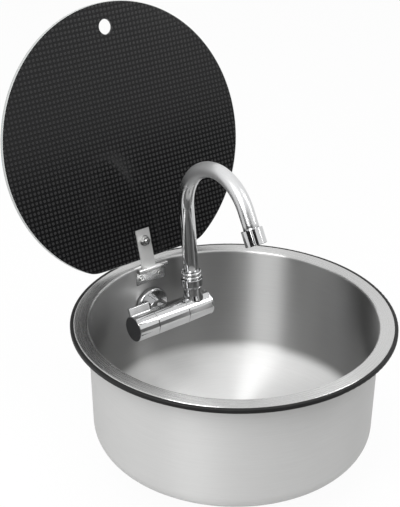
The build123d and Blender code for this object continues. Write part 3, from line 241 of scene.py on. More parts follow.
class SINK_PG_fasteners(bpy.types.PropertyGroup):
    """Sizes of screws and threads"""

    screw_radius: length("Hinge screw", "Over the thread", 0.00195)
    screw_head: length("Head height", "Of the hinge screws", 0.0022)
    screw_pitch: length("Pitch", "Of the small threads", 0.0008)
    waste_radius: length("Waste screw", "Over the thread", 0.003)
    waste_head: length("Waste head", "Its head's height", 0.0025)
    waste_pitch: length("Waste pitch", "Its pitch", 0.001)
    shank_radius: length("Shank", "The tap's pipe thread", 0.01048)
    shank_pitch: length("Shank pitch", "Of the pipe thread", 0.0018)
    hose_thread: length("Hose thread", "Length of the free thread at the shank's end", 0.020)


class SINK_PG_finish(bpy.types.PropertyGroup):
    """Colours and finishes"""

    steel: colour("Steel", "Colour of the brushed wall", (0.36, 0.36, 0.358))
    floor: colour("Floor", "Colour of the satin floor", (0.79, 0.79, 0.785))
    flange: colour("Flange", "Colour of the brushed flange", (0.60, 0.60, 0.597))
    satin: colour("Satin", "Colour of the bowl's outer face", (0.475, 0.475, 0.471))
    chrome: colour("Chrome", "Colour of the plated tap", (0.60, 0.603, 0.607))
    # The riser's colour is darker than the chrome as painted shade: it stands in for the dark
    # reflections along the riser, not for a different plating.
    riser: colour("Riser", "Colour of the riser's plating", (0.51, 0.513, 0.517))
    glass: colour("Glass", "Colour of the tinted lid", (0.005, 0.005, 0.0053))
    dots: colour("Dots", "Colour of the lid's printed dots", (0.019, 0.019, 0.0195))
    glass_edge: colour("Glass edge", "Colour of the lid's ground rim", (0.38, 0.39, 0.385))
    rubber: colour("Rubber", "Colour of the seal", (0.006, 0.006, 0.006))
    dot_pitch: length("Dot pitch", "Distance between the lid's dots across it", 0.0058)
    dot_rows: length("Dot rows", "Distance between the rows of dots", 0.00626)


class SINK_PG_stage(bpy.types.PropertyGroup):
    """Camera and light"""

    focal: FloatProperty(
        name="Focal length", description="Lens of the camera, in mm", default=88.757
    )
    camera_at: FloatVectorProperty(
        name="Camera", description="Place of the camera", default=CAMERA_AT, size=3,
        subtype="TRANSLATION",
    )
    floor_drop: length("Floor", "The floor below the object", 0.0005)
    room_level: FloatProperty(
        name="Room", description="Level of the room's own light", default=0.5, min=0.0
    )
    lamp_level: FloatProperty(
        name="Lamps", description="Level of all lamps together", default=1.0, min=0.0
    )


class SINK_PG_detail(bpy.types.PropertyGroup):
    """Fineness of the turned and swept surfaces"""

    turn_steps: IntProperty(
        name="Turn", description="Steps of a whole turn", default=160, min=24, max=512
    )
    bend_steps: IntProperty(
        name="Bend", description="Steps along the spout", default=96, min=16, max=512
    )


# ---------------------------------------------------------------- surfaces


def grid_faces(rows, columns, wrap_rows, wrap_columns):
    """Quads of a grid: each joins a point, its right neighbour and the two points a row on."""
    i = np.arange(rows if wrap_rows else rows - 1)[:, None]
    j = np.arange(columns if wrap_columns else columns - 1)[None, :]
    i2, j2 = (i + 1) % rows, (j + 1) % columns
    quads = np.stack(
        [i * columns + j, i * columns + j2, i2 * columns + j2, i2 * columns + j], axis=-1
    )
    return quads.reshape(-1, 4)


def enclosed_volume(points, quads):
    """Sum of the pyramids from the centre to each face, positive when faces point out."""
    p = points[quads] - points.mean(axis=0)
    first = np.einsum("ij,ij->i", p[:, 0], np.cross(p[:, 1], p[:, 2]))
    second = np.einsum("ij,ij->i", p[:, 0], np.cross(p[:, 2], p[:, 3]))
    return (first + second).sum() / 6


def add_surface(name, grids, wrap_rows=True, wrap_columns=True):
    """A mesh object made of one grid of points or several alike, each of shape (rows, columns,
    3), closed where a side wraps or where a whole row falls on one point. Faces point out."""
    points, quads, count = [], [], 0
    for grid in grids:
        spread = grid.reshape(-1, 3)
        corners = grid_faces(*grid.shape[:2], wrap_rows, wrap_columns)
        if enclosed_volume(spread, corners) < 0:
            corners = corners[:, ::-1]
        points.append(spread)
        quads.append(corners + count)
        count += len(spread)
    points, quads = np.concatenate(points), np.concatenate(quads)
    mesh = bpy.data.meshes.new(name)
    mesh.vertices.add(len(points))
    mesh.vertices.foreach_set("co", points.astype(np.float32).ravel())
    mesh.loops.add(quads.size)
    mesh.loops.foreach_set("vertex_index", quads.astype(np.int32).ravel())
    mesh.polygons.add(len(quads))
    mesh.polygons.foreach_set("loop_start", np.arange(0, quads.size, 4, dtype=np.int32))
    mesh.polygons.foreach_set("use_smooth", np.ones(len(quads), dtype=bool))
    mesh.update(calc_edges=True)
    close_poles(mesh)
    piece = bpy.data.objects.new(name, mesh)
    bpy.context.scene.collection.objects.link(piece)
    return piece


def close_poles(mesh):
    """Merges the points of a row that has shrunk to one place, so that a pole is one vertex."""
    bm = bmesh.new()
    bm.from_mesh(mesh)
    bmesh.ops.remove_doubles(bm, verts=bm.verts, dist=1e-7)
    bmesh.ops.dissolve_degenerate(bm, edges=bm.edges, dist=1e-8)
    bm.to_mesh(mesh)
    bm.free()
    mesh.validate()
    mesh.update()


def angles_round(steps):
    """The angles of a whole turn in even steps."""
    return np.linspace(0, 2 * np.pi, steps, endpoint=False)


def turned_grid(origin, axis, height, away, steps):
    """Points round an axis: at angle t a point is origin + its height along the axis + its
    distance times (u cos t + v sin t), where u and v are square to the axis and each other."""
    side = ALONG_X if abs(axis[0]) < 0.9 else ALONG_Y
    u = side - axis * np.dot(side, axis)
    u = u / np.linalg.norm(u)
    t = angles_round(steps)
    around = np.cos(t)[:, None] * u + np.sin(t)[:, None] * np.cross(axis, u)
    return origin + height[..., None] * axis + away[..., None] * around


def rounded_line(corners, radii, steps):
    """A chain of straight lines whose inner corners are arcs: each arc touches both of its
    lines, and its points are the centre plus the radius times the turning direction."""
    corners = np.asarray(corners, dtype=float)
    out = [corners[0]]
    for before, corner, after, radius in zip(corners[:-2], corners[1:-1], corners[2:], radii):
        a = (before - corner) / np.linalg.norm(before - corner)
        b = (after - corner) / np.linalg.norm(after - corner)
        half = math.acos(np.clip(np.dot(a, b), -1, 1)) / 2
        if radius <= 0 or half > math.pi / 2 - 1e-6:
            out.append(corner)
            continue
        middle = (a + b) / np.linalg.norm(a + b)
        centre = corner + middle * radius / math.sin(half)
        start = corner + a * radius / math.tan(half) - centre
        finish = corner + b * radius / math.tan(half) - centre
        t = np.linspace(0, 1, steps + 1)[:, None]
        swing = math.pi - 2 * half
        arc = (np.sin((1 - t) * swing) * start + np.sin(t * swing) * finish) / math.sin(swing)
        out.extend(centre + arc)
    out.append(corners[-1])
    return np.array(out)


def thread_depth(height, angle, pitch, depth):
    """How far a thread lies under its crest: a triangle wave of the height in pitches less
    the turn round the axis, times the depth."""
    phase = height / pitch - angle / (2 * np.pi)
    return depth * np.abs(2 * (phase - np.floor(phase + 0.5)))


def threaded_sleeve(origin, axis, start, end, radius, pitch, depth, steps=48):
    """A thin threaded skin: at height h and angle t the point is origin + h along the axis +
    (radius less the thread's depth there) times the direction at t. Its rows run out along
    the thread and back along a plain inner cylinder, so it is a closed ring."""
    rows = int(abs(end - start) / pitch * ROWS_PER_PITCH) + 2
    height = np.concatenate([np.linspace(start, end, rows), [end, start]])[:, None]
    crest = radius - thread_depth(height, angles_round(steps), pitch, depth)
    ends = np.minimum(np.abs(height - start), np.abs(height - end)) / pitch
    crest = crest - depth * np.clip(1 - ends, 0, 1)
    crest[rows:] = radius - depth * SLEEVE_DEPTH
    return turned_grid(origin, axis, height, crest, steps)


def cross_recess(across, along, reach, width, slope):
    """1 inside a cross of two arms and 0 outside it, with sloped walls: an arm is where one
    coordinate is within the width and the other within the reach."""
    narrow = np.clip((width - np.abs([across, along])) / slope, 0, 1)
    wide = np.clip((reach - np.abs([along, across])) / slope, 0, 1)
    return (narrow * wide).max(axis=0)


def pan_screw(origin, axis, head, body, sunk):
    """A screw with a pan head, as one polar grid. Its rows run from the middle of the head to
    its rim, down its side, which is rounded by half of its height, in under it, down the
    thread and in to the tip. The head's top is lowered by the recess's depth times the cross
    at that point."""
    head_radius, head_height = head
    radius, reach, pitch = body
    edge = head_height / 2
    inner = np.linspace(0, head_radius - edge, HEAD_ROWS)
    turn = np.linspace(0, np.pi / 2, EDGE_ROWS)[1:]
    rows = int(reach / pitch * ROWS_PER_PITCH) + 2
    away = np.concatenate([
        inner, head_radius - edge + edge * np.sin(turn), [head_radius],
        np.full(rows, radius), [radius * TIP_END, 0.0],
    ])
    height = np.concatenate([
        np.full(len(inner), head_height), head_height - edge + edge * np.cos(turn), [-sunk],
        np.linspace(-sunk, -reach, rows), [-reach - TIP_LENGTH] * 2,
    ])
    t = angles_round(SCREW_STEPS)
    away, height = (np.repeat(row[:, None], SCREW_STEPS, axis=1) for row in (away, height))
    cross = cross_recess(
        away * np.cos(t), away * np.sin(t),
        head_radius * CROSS_REACH, head_radius * CROSS_WIDTH, head_radius * CROSS_SLOPE,
    )
    height[:len(inner)] -= (cross * head_height * CROSS_DEPTH)[:len(inner)]
    thread = slice(-rows - 2, -2)
    away[thread] -= thread_depth(height[thread], t, pitch, pitch * THREAD_DEPTH)
    return turned_grid(origin, axis, height, away, SCREW_STEPS)


def tube_grid(path, tangents, side, ring_radii, steps):
    """A tube carried along a path in a plane: at each path point the section is a circle of
    the point's radius in the plane square to the tangent, spanned by the plane's normal and
    its cross product with the tangent."""
    t = angles_round(steps)[None, :, None]
    around = np.cos(t) * side + np.sin(t) * np.cross(tangents, side)[:, None, :]
    return path[:, None, :] + ring_radii[:, None, None] * around


# ---------------------------------------------------------------- shader building


class Nodes:
    """Adds shader nodes to a tree. A value for an input is a number, a colour, a vector or a
    (node, output) pair, which is linked."""

    def __init__(self, tree):
        self.tree = tree
        self.tree.nodes.clear()

    def add(self, kind, **settings):
        """A node with its settings made."""
        node = self.tree.nodes.new(kind)
        for key, value in settings.items():
            setattr(node, key, value)
        return node

    def feed(self, node, socket, value):
        """Gives one input its value."""
        if isinstance(value, tuple) and hasattr(value[0], "outputs"):
            self.tree.links.new(value[0].outputs[value[1]], node.inputs[socket])
        else:
            node.inputs[socket].default_value = value

    def put(self, node, **inputs):
        """Gives each named input its value; an underscore stands for a space."""
        for label, value in inputs.items():
            self.feed(node, label.replace("_", " "), value)
        return node

    def math(self, operation, *operands):
        """A Math node's result."""
        node = self.add("ShaderNodeMath", operation=operation)
        for index, operand in enumerate(operands):
            self.feed(node, index, operand)
        return node, 0

    def diagonal(self, first, second):
        """The root of the sum of two numbers' squares."""
        squares = [self.math("MULTIPLY", side, side) for side in (first, second)]
        return self.math("SQRT", self.math("ADD", *squares))

    def ramp(self, source, low, high, to_low, to_high):
        """A smooth step from one value to another as the source goes from low to high."""
        node = self.add("ShaderNodeMapRange", interpolation_type="SMOOTHSTEP", clamp=True)
        self.put(node, Value=source, From_Min=low, From_Max=high, To_Min=to_low, To_Max=to_high)
        return node, 0

    def mix(self, kind, factor, first, second, blend_type="MIX"):
        """A mix of two numbers or two colours."""
        node = self.add("ShaderNodeMix", data_type=kind, blend_type=blend_type)
        return self.put(node, Factor=factor, A=first, B=second), "Result"

    def tint(self, shade, factor, low, high):
        """A colour made a little darker or lighter by a mask."""
        return self.mix("RGBA", factor, rgba(shade, low), rgba(shade, high))

    def noise(self, **inputs):
        """Soft noise."""
        return self.put(self.add("ShaderNodeTexNoise"), **inputs), "Fac"

    def split(self, source):
        """A node whose outputs are the three coordinates of a vector."""
        return self.put(self.add("ShaderNodeSeparateXYZ"), Vector=source)

    def mapped(self, source, **inputs):
        """Coordinates turned, shifted or stretched."""
        return self.put(self.add("ShaderNodeMapping"), Vector=source, **inputs), "Vector"

    def bump(self, shader, height, strength, distance):
        """Raises the surface a little where a height is greater."""
        node = self.add("ShaderNodeBump")
        self.put(node, Strength=strength, Distance=distance, Height=height)
        self.put(shader, Normal=(node, "Normal"))


def rgba(shade, level=1.0):
    """A colour at a level, with the fourth number that its socket has."""
    return (*[min(1, part * level) for part in shade], 1)


def new_group(name, inputs, outputs):
    """An empty shader node group that takes a vector and named numbers and puts out numbers."""
    group = bpy.data.node_groups.new(name, "ShaderNodeTree")
    group.interface.new_socket("Vector", in_out="INPUT", socket_type="NodeSocketVector")
    for label, value in inputs.items():
        socket = group.interface.new_socket(label, in_out="INPUT", socket_type="NodeSocketFloat")
        socket.default_value = value
    for label in outputs:
        group.interface.new_socket(label, in_out="OUTPUT", socket_type="NodeSocketFloat")
    n = Nodes(group)
    return n, n.add("NodeGroupInput"), n.add("NodeGroupOutput")


def brushing_group():
    """Fine lines left by brushing: noise squeezed along the brushed direction."""
    n, start, end = new_group(
        "Brushing", {"Fineness": 900.0, "Low": 0.25, "High": 0.40}, ("Value", "Height")
    )
    fine = n.noise(Detail=3.0, Vector=(start, "Vector"), Scale=(start, "Fineness"))
    spread = n.add("ShaderNodeMapRange")
    n.put(spread, Value=fine, From_Min=0.3, From_Max=0.7)
    n.put(spread, To_Min=(start, "Low"), To_Max=(start, "High"))
    n.put(end, Value=(spread, "Result"), Height=fine)
    return n.tree


def smudge_group():
    """Faint wiped marks and dust: soft noise, cut to a mask and spread over a band of values."""
    n, start, end = new_group(
        "Smudges", {"Size": 12.0, "Low": 0.03, "High": 0.08}, ("Value", "Mask")
    )
    broad = n.noise(Detail=1.5, Roughness=0.5, Vector=(start, "Vector"), Scale=(start, "Size"))
    mask = n.ramp(broad, 0.45, 0.68, 0.0, 1.0)
    spread = n.add("ShaderNodeMapRange")
    n.put(spread, Value=mask, To_Min=(start, "Low"), To_Max=(start, "High"))
    n.put(end, Value=(spread, "Result"), Mask=mask)
    return n.tree


def dot_group():
    """A grid of small dots: the distance of a point from the nearest grid node, in pitches."""
    n, start, end = new_group(
        "Dot grid", {"Pitch": 0.0058, "Row pitch": 0.00626, "Radius": 0.30}, ("Mask",)
    )
    split = n.split((start, "Vector"))
    sides = []
    for axis, pitch in (("X", "Pitch"), ("Y", "Row pitch")):
        cells = n.math("DIVIDE", (split, axis), (start, pitch))
        sides.append(n.math("SUBTRACT", n.math("FRACT", cells), 0.5))
    share = n.math("DIVIDE", n.diagonal(*sides), (start, "Radius"))
    n.put(end, Mask=n.ramp(share, 0.7, 1.15, 1.0, 0.0))
    return n.tree


def grain_group():
    """Fine grain of moulded or rubber surfaces as a height and a small change of tone."""
    n, start, end = new_group("Grain", {"Size": 900.0}, ("Height", "Tone"))
    fine = n.noise(Detail=2.0, Vector=(start, "Vector"), Scale=(start, "Size"))
    broad = n.noise(Scale=22.0, Vector=(start, "Vector"))
    n.put(end, Height=fine, Tone=n.ramp(broad, 0.3, 0.7, 0.85, 1.15))
    return n.tree


GROUP_MAKERS = {
    "Brushing": brushing_group,
    "Smudges": smudge_group,
    "Dot grid": dot_group,
    "Grain": grain_group,
}
GROUPS = {}


def group_node(n, name, **inputs):
    """A node that places one of the shared groups in a material."""
    if name not in GROUPS:
        GROUPS[name] = GROUP_MAKERS[name]()
    return n.put(n.add("ShaderNodeGroup", node_tree=GROUPS[name]), **inputs)


def start_material(name):
    """A material with a Principled shader on its output, and its object coordinates."""
    material = bpy.data.materials.new(name)
    material.use_nodes = True
    n = Nodes(material.node_tree)
    shader = n.add("ShaderNodeBsdfPrincipled")
    n.put(n.add("ShaderNodeOutputMaterial"), Surface=(shader, "BSDF"))
    return material, n, shader, (n.add("ShaderNodeTexCoord"), "Object")


def brushed_round(n, place, lines, low, high):
    """The Brushing group with its lines round Z: its coordinates are angle times a radius,
    distance from the axis and height, drawn out along the first. Gives the height too."""
    drawn_out, fineness = lines
    split = n.split(place)
    along = n.math("MULTIPLY", n.math("ARCTAN2", (split, "Y"), (split, "X")), UNROLLED_AT)
    joined = n.add("ShaderNodeCombineXYZ")
    n.put(joined, X=along, Y=n.diagonal((split, "X"), (split, "Y")), Z=(split, "Z"))
    squeezed = n.mapped((joined, "Vector"), Scale=(drawn_out, 1.0, 1.0))
    brushing = group_node(n, "Brushing", Vector=squeezed, Fineness=fineness, Low=low, High=high)
    return brushing, (split, "Z")


def brushed_material(name, shade, low, high):
    """Brushed steel: fine lines round the bowl in roughness, tone and height."""
    material, n, shader, place = start_material(name)
    lines = brushed_round(n, place, PRESSED_LINES, low, high)[0]
    tone = n.tint(shade, (lines, "Height"), 0.93, 1.07)
    n.put(shader, Base_Color=tone, Roughness=(lines, "Value"), Metallic=1.0)
    n.bump(shader, (lines, "Height"), strength=0.02, distance=0.0002)
    return material


def bowl_material(finish):
    """The bowl's sheet. The wall is brushed round, so that it mirrors the lamps as upright
    bands; the flange is brushed finer, the floor is satin, and the outer face, which the
    piece's own attribute marks, is left dull."""
    material, n, shader, place = start_material("bowl steel")
    lines, height = brushed_round(n, place, BOWL_LINES, -0.02, 0.02)
    outer = (n.add("ShaderNodeAttribute", attribute_name="outer_face"), "Fac")
    flange = n.ramp(height, *FLANGE_STARTS, 0.0, 1.0)
    floor = n.ramp(height, *FLOOR_ENDS, 1.0, 0.0)
    rough = n.mix("FLOAT", floor, 0.42, 0.55)
    rough = n.mix("FLOAT", flange, rough, 0.27)
    rough = n.mix("FLOAT", outer, rough, 0.65)
    shade = n.mix("RGBA", floor, rgba(finish.steel), rgba(finish.floor))
    shade = n.mix("RGBA", flange, shade, rgba(finish.flange))
    shade = n.mix("RGBA", outer, shade, rgba(finish.satin))
    streaked = n.add("ShaderNodeVectorMath", operation="SCALE")
    n.feed(streaked, 0, shade)
    n.put(streaked, Scale=n.ramp((lines, "Height"), 0.3, 0.7, 0.975, 1.025))
    metal = n.mix("FLOAT", floor, 1.0, 0.4)
    metal = n.mix("FLOAT", outer, metal, 0.1)
    round_the_bowl = n.add("ShaderNodeTangent", direction_type="RADIAL", axis="Z")
    n.put(
        shader, Base_Color=(streaked, "Vector"), Roughness=n.math("ADD", rough, (lines, "Value")),
        Metallic=metal, Anisotropic=1.0, Anisotropic_Rotation=0.25,
        Tangent=(round_the_bowl, "Tangent"),
    )
    n.bump(shader, (lines, "Height"), strength=0.008, distance=0.0002)
    return material


def metal_material(name, shade, low, high, size=60.0, worn=0.96, metallic=1.0):
    """Plain or plated metal: faint wiped marks in its tone and roughness."""
    material, n, shader, place = start_material(name)
    marks = group_node(n, "Smudges", Vector=place, Size=size, Low=low, High=high)
    tone = n.tint(shade, (marks, "Mask"), 1.0, worn)
    n.put(shader, Base_Color=tone, Roughness=(marks, "Value"), Metallic=metallic)
    return material


def spout_material(finish):
    """The spout's plating: a deep mirror on the riser, whose colour is darker as painted shade for
    the dark reflections it shows, and, above it, the softer polish that the bent part of such a
    tube has."""
    material, n, shader, place = start_material("spout chrome")
    marks = group_node(n, "Smudges", Vector=place, Size=PLATING["size"], Low=-0.01, High=0.02)
    height = (n.split(place), "Z")
    bend = n.ramp(height, *POLISH_AND_PAINTED_SHADE_SOFTEN, 0.0, 1.0)
    # Base colour: the riser's darker colour is painted shade, and it fades into the chrome colour
    # up the bend.
    n.put(
        shader, Base_Color=n.mix("RGBA", bend, rgba(finish.riser), rgba(finish.chrome)),
        Roughness=n.math("ADD", n.mix("FLOAT", bend, 0.07, 0.30), (marks, "Value")),
        Metallic=n.ramp(height, *PLATING_SOFTENS, 1.0, 0.72),
    )
    return material


def moulded_material(name, shade, roughness, bump=0.12, specular=0.5):
    """Rubber or plastic: fine grain in its height and a slow change of tone."""
    material, n, shader, place = start_material(name)
    grain = group_node(n, "Grain", Vector=place, Size=900.0)
    tone = n.mix("RGBA", 1.0, rgba(shade), (grain, "Tone"), blend_type="MULTIPLY")
    n.put(shader, Base_Color=tone, Roughness=roughness, Specular_IOR_Level=specular)
    n.bump(shader, (grain, "Height"), strength=bump, distance=0.0001)
    return material


def lid_material(finish, lid):
    """Dark tinted glass with a printed grid of faint dots and a pale ground rim, darker at the
    back. The lid's own plane is the object coordinates turned back by its lean, and the rim is
    where a point is as far from the disc's middle as its radius, or at its straight edge."""
    material, n, shader, place = start_material("lid glass")
    pin = Matrix.Rotation(LID_OPEN, 3, "X") @ Vector(HINGE_POINT)
    flat = n.mapped(place, Rotation=(LID_OPEN, 0, 0), Location=-pin)
    dots = group_node(
        n, "Dot grid", Vector=flat, Pitch=finish.dot_pitch, Row_pitch=finish.dot_rows, Radius=0.34
    )
    split = n.split(flat)
    away = n.diagonal((split, "X"), n.math("ADD", (split, "Y"), lid.middle))
    rim, edge = lid.radius - lid.margin, -lid.margin - lid.straight_edge
    ground = n.math(
        "MAXIMUM", n.ramp(away, rim - RIM_SOFT, rim + RIM_SOFT, 0.0, 1.0),
        n.ramp((split, "Y"), edge - RIM_SOFT, edge + RIM_SOFT, 0.0, 1.0),
    )
    back = n.ramp((split, "Z"), *(lid.back + inward for inward in RIM_DARKENS), 0.0, 1.0)
    face = n.mix("RGBA", (dots, "Mask"), rgba(finish.glass), rgba(finish.dots))
    n.put(
        shader, Base_Color=n.mix("RGBA", ground, face, n.tint(finish.glass_edge, back, 1.0, 0.5)),
        Roughness=n.ramp((dots, "Mask"), 0.0, 1.0, 0.15, 0.40), Specular_IOR_Level=0.22,
    )
    n.bump(shader, (dots, "Mask"), strength=0.25, distance=0.0003)
    return material


def wear(piece, material):
    """Puts one material in every slot of a piece."""
    if not piece.data.materials:
        piece.data.materials.append(material)
    for slot in piece.material_slots:
        slot.material = material


def ray_towards(bearing, height):
    """The unit vector at a bearing from the camera's side and at a height, both in degrees."""
    bearing, height = TO_CAMERA + np.radians(bearing), np.radians(height)
    flat = np.cos(height)
    parts = np.broadcast_arrays(np.cos(bearing) * flat, np.sin(bearing) * flat, np.sin(height))
    return np.stack(parts, axis=-1)


def white_where_seen(n, plain, white, share):
    """Mixes a white shader into a plain one, by the given share for what the camera, a mirror
    or clear glass sees, and not at all for the light that falls on the object."""
    ray = n.add("ShaderNodeLightPath")
    seen = n.math("MAXIMUM", (ray, "Is Camera Ray"), (ray, "Is Glossy Ray"))
    seen = n.math("MAXIMUM", seen, (ray, "Is Transmission Ray"))
    mix = n.add("ShaderNodeMixShader")
    for socket, value in enumerate((n.math("MULTIPLY", seen, share), plain, white)):
        n.feed(mix, socket, value)
    return mix, "Shader"


# ---------------------------------------------------------------- operators


class SINK_OT_finishes(bpy.types.Operator):
    """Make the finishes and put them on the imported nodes"""

    bl_idname = "sink.finishes"
    bl_label = "Finishes"

    def execute(self, context):
        finish, lid = context.scene.sink_finish, context.scene.sink_lid
        spout_material(finish)
        rows = (
            (metal_material("chrome", finish.chrome, 0.07, 0.11, **PLATING),
             "tap_cup tap_body tap_knob swivel_block end_cap spout_collar nozzle_housing"),
            # The nut takes the riser's darker colour too: painted shade, as on the riser.
            (metal_material("nut chrome", finish.riser, 0.06, 0.09, **PLATING), "riser_nut"),
            (metal_material("hardware steel", (0.62, 0.62, 0.615), 0.16, 0.22),
             "hinge_plate hinge_pin hinge_screws hinge_nuts keeper_washer keeper_screw"
             " back_washer lid_bolt lid_washer lid_nut knob_screw waste_screw"),
            (metal_material("satin steel", (0.66, 0.66, 0.655), 0.28, 0.34, metallic=0.6),
             "lid_strap"),
            (brushed_material("pressed steel", finish.steel, 0.24, 0.36), "strainer"),
            (metal_material("brass", (0.70, 0.52, 0.26), 0.22, 0.34),
             "cartridge_nut valve_spindle backnut"),
            (moulded_material("black rubber", finish.rubber, 0.55, specular=0.3),
             "rim_seal cup_gasket spigot_o_rings back_rubber waste_gasket trap_gasket"
             " neck_seal nozzle_washer drain_plug"),
            (moulded_material("grey rubber", (0.03, 0.03, 0.031), 0.6), "strap_pad"),
            (moulded_material("nylon", (0.72, 0.72, 0.68), 0.45), "nylon_washer spout_bush"),
            (moulded_material("white plastic", (0.68, 0.68, 0.67), 0.42, bump=0.06), "trap_cup"),
            (moulded_material("black plastic", (0.02, 0.02, 0.021), 0.38, bump=0.06),
             "valve_cartridge nozzle_insert"),
            (moulded_material("knob cap", (0.03, 0.03, 0.032), 0.25, bump=0.04), "knob_cap"),
            (lid_material(finish, lid), "lid_glass"),
        )
        for material, names in rows:
            for name in names.split():
                wear(NODES[name], material)
        return {"FINISHED"}


class SINK_OT_bowl(bpy.types.Operator):
    """Make the bowl's sheet as one smooth turned surface"""

    bl_idname = "sink.bowl"
    bl_label = "Bowl"

    def execute(self, context):
        """The section is a rounded line along the upper face and the same line set off by the
        sheet's thickness along the lower one, turned round the bowl's axis."""
        size = context.scene.sink_bowl
        steps = context.scene.sink_detail.turn_steps * 2
        wall, top = size.wall_radius, size.flange_top
        edge = wall + size.flange_width
        floor = top - size.depth + size.sheet
        corners = [
            (edge, top - LIP_DEPTH),
            (edge, top),
            (wall, top),
            (wall, top - STRAIGHT_WALL),
            (wall - size.taper, floor),
            (RECESS_MOUTH, floor - FLOOR_FALL),
            (RECESS_FOOT, floor - RECESS_DEPTH),
            (size.waste_hole, floor - RECESS_DEPTH),
        ]
        upper = rounded_line(corners, BOWL_ROUNDING, CORNER_STEPS)
        along = np.gradient(upper, axis=0)
        along = along / np.linalg.norm(along, axis=1, keepdims=True)
        lower = upper + size.sheet * np.stack([-along[:, 1], along[:, 0]], axis=1)
        ring = np.concatenate([upper, lower[::-1]])
        away, height = ring[:, 0], ring[:, 1]
        grid = turned_grid(ORIGIN, ALONG_Z, height[:, None], away[:, None], steps)
        piece = add_surface("bowl_sheet", [grid])
        self.mark_outer_face(piece, away, height, len(upper))
        wear(piece, bowl_material(context.scene.sink_finish))
        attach(piece, "basin")
        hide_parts("bowl")
        return {"FINISHED"}

    def mark_outer_face(self, piece, away, height, first):
        """Gives each vertex 1 where the nearest point of the section is on the lower face."""
        points = np.empty(len(piece.data.vertices) * 3, dtype=np.float32)
        piece.data.vertices.foreach_get("co", points)
        x, y, z = points.reshape(-1, 3).T[..., None]
        nearest = np.argmin((np.hypot(x, y) - away) ** 2 + (z - height) ** 2, axis=1)
        attribute = piece.data.attributes.new("outer_face", "FLOAT", "POINT")
        attribute.data.foreach_set("value", (nearest >= first).astype(np.float32))


class SINK_OT_spout(bpy.types.Operator):
    """Make the bent tube of the spout"""

    bl_idname = "sink.spout"
    bl_label = "Spout"

    def execute(self, context):
        """The path is straight up the riser, round the bend at its radius and straight on. Its
        rows run out along the tube's outer face and back along the inner one."""
        size, detail = context.scene.sink_spout, context.scene.sink_detail
        forward = np.cross(ALONG_X, RISER_DIR)
        forward = forward / np.linalg.norm(forward)
        angle = np.linspace(0, size.bend_angle, detail.bend_steps)
        reach = size.bend_radius * (1 - np.cos(angle))
        rise = size.straight + size.bend_radius * np.sin(angle)
        heading = np.stack([np.sin(angle), np.cos(angle)], axis=1)
        last = np.array([[reach[-1], rise[-1]]]) + heading[-1:] * [[size.end * 0.5], [size.end]]
        riser = [[0, TUBE_FOOT + step] for step in RISER_ROWS]
        flat = np.concatenate([riser, np.stack([reach, rise], axis=1), last])
        turn = np.concatenate([[[0, 1]] * len(riser), heading, np.repeat(heading[-1:], 2, axis=0)])
        path = RISER_POINT + flat[:, :1] * forward + flat[:, 1:] * RISER_DIR
        tangents = turn[:, :1] * forward + turn[:, 1:] * RISER_DIR
        path, tangents = (np.concatenate([row, row[::-1]]) for row in (path, tangents))
        radii = np.full(len(path), size.tube_radius)
        radii[len(path) // 2:] -= size.tube_wall
        grid = tube_grid(path, tangents, ALONG_X, radii, detail.turn_steps // 2)
        piece = add_surface("spout_pipe", [grid])
        wear(piece, bpy.data.materials["spout chrome"])
        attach(piece, "spout")
        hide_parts("spout_tube")
        return {"FINISHED"}


class SINK_OT_lid(bpy.types.Operator):
    """Make the lid's glass with its rounded edges and finger hole"""

    bl_idname = "sink.lid"
    bl_label = "Lid"

    def execute(self, context):
        """The glass in its own plane. At angle t the outline is the lower of the circle's radius
        and the straight edge's distance over the sine, joined by a high power so that the
        corners are round; the hole is a circle. Rows run along the front from the hole to
        the outline, round the rim, back to the hole and through it."""
        size = context.scene.sink_lid
        t = angles_round(context.scene.sink_detail.turn_steps * 3)
        towards = np.maximum(np.sin(t), 0) / (size.middle - size.straight_edge)
        outline = ((1 / size.radius) ** size.corner + towards ** size.corner) ** (-1 / size.corner)
        turn = np.linspace(0, np.pi / 2, BEVEL_STEPS)
        front = size.front + size.bevel * (1 - np.cos(turn))
        back = size.back - size.bevel * (1 - np.sin(turn))
        rim = size.bevel * np.concatenate([1 - np.sin(turn), 1 - np.cos(turn)])
        share = np.array(PANE_ROWS)
        face = np.linspace(-size.bevel, size.bevel, len(share))
        whole, none = np.ones_like(rim), np.zeros_like(rim)
        across = np.concatenate([share, whole, share[::-1], none])[:, None]
        drawn_in = np.concatenate([face, rim, face[::-1], -rim[::-1]])[:, None]
        height = np.concatenate([
            np.full(len(share), size.front), front, back,
            np.full(len(share), size.back), back[::-1], front[::-1],
        ])[:, None, None]
        reach = size.hole_radius * (1 - across) + outline * across - drawn_in
        middle = -size.hole_at * (1 - across) - size.middle * across
        x, y = reach * np.cos(t), middle + reach * np.sin(t)
        grid = HINGE_POINT + x[..., None] * ALONG_X + y[..., None] * LID_BACK + height * LID_OUT
        piece = add_surface("lid_pane", [grid])
        wear(piece, bpy.data.materials["lid glass"])
        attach(piece, "lid")
        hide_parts("lid_glass")
        return {"FINISHED"}


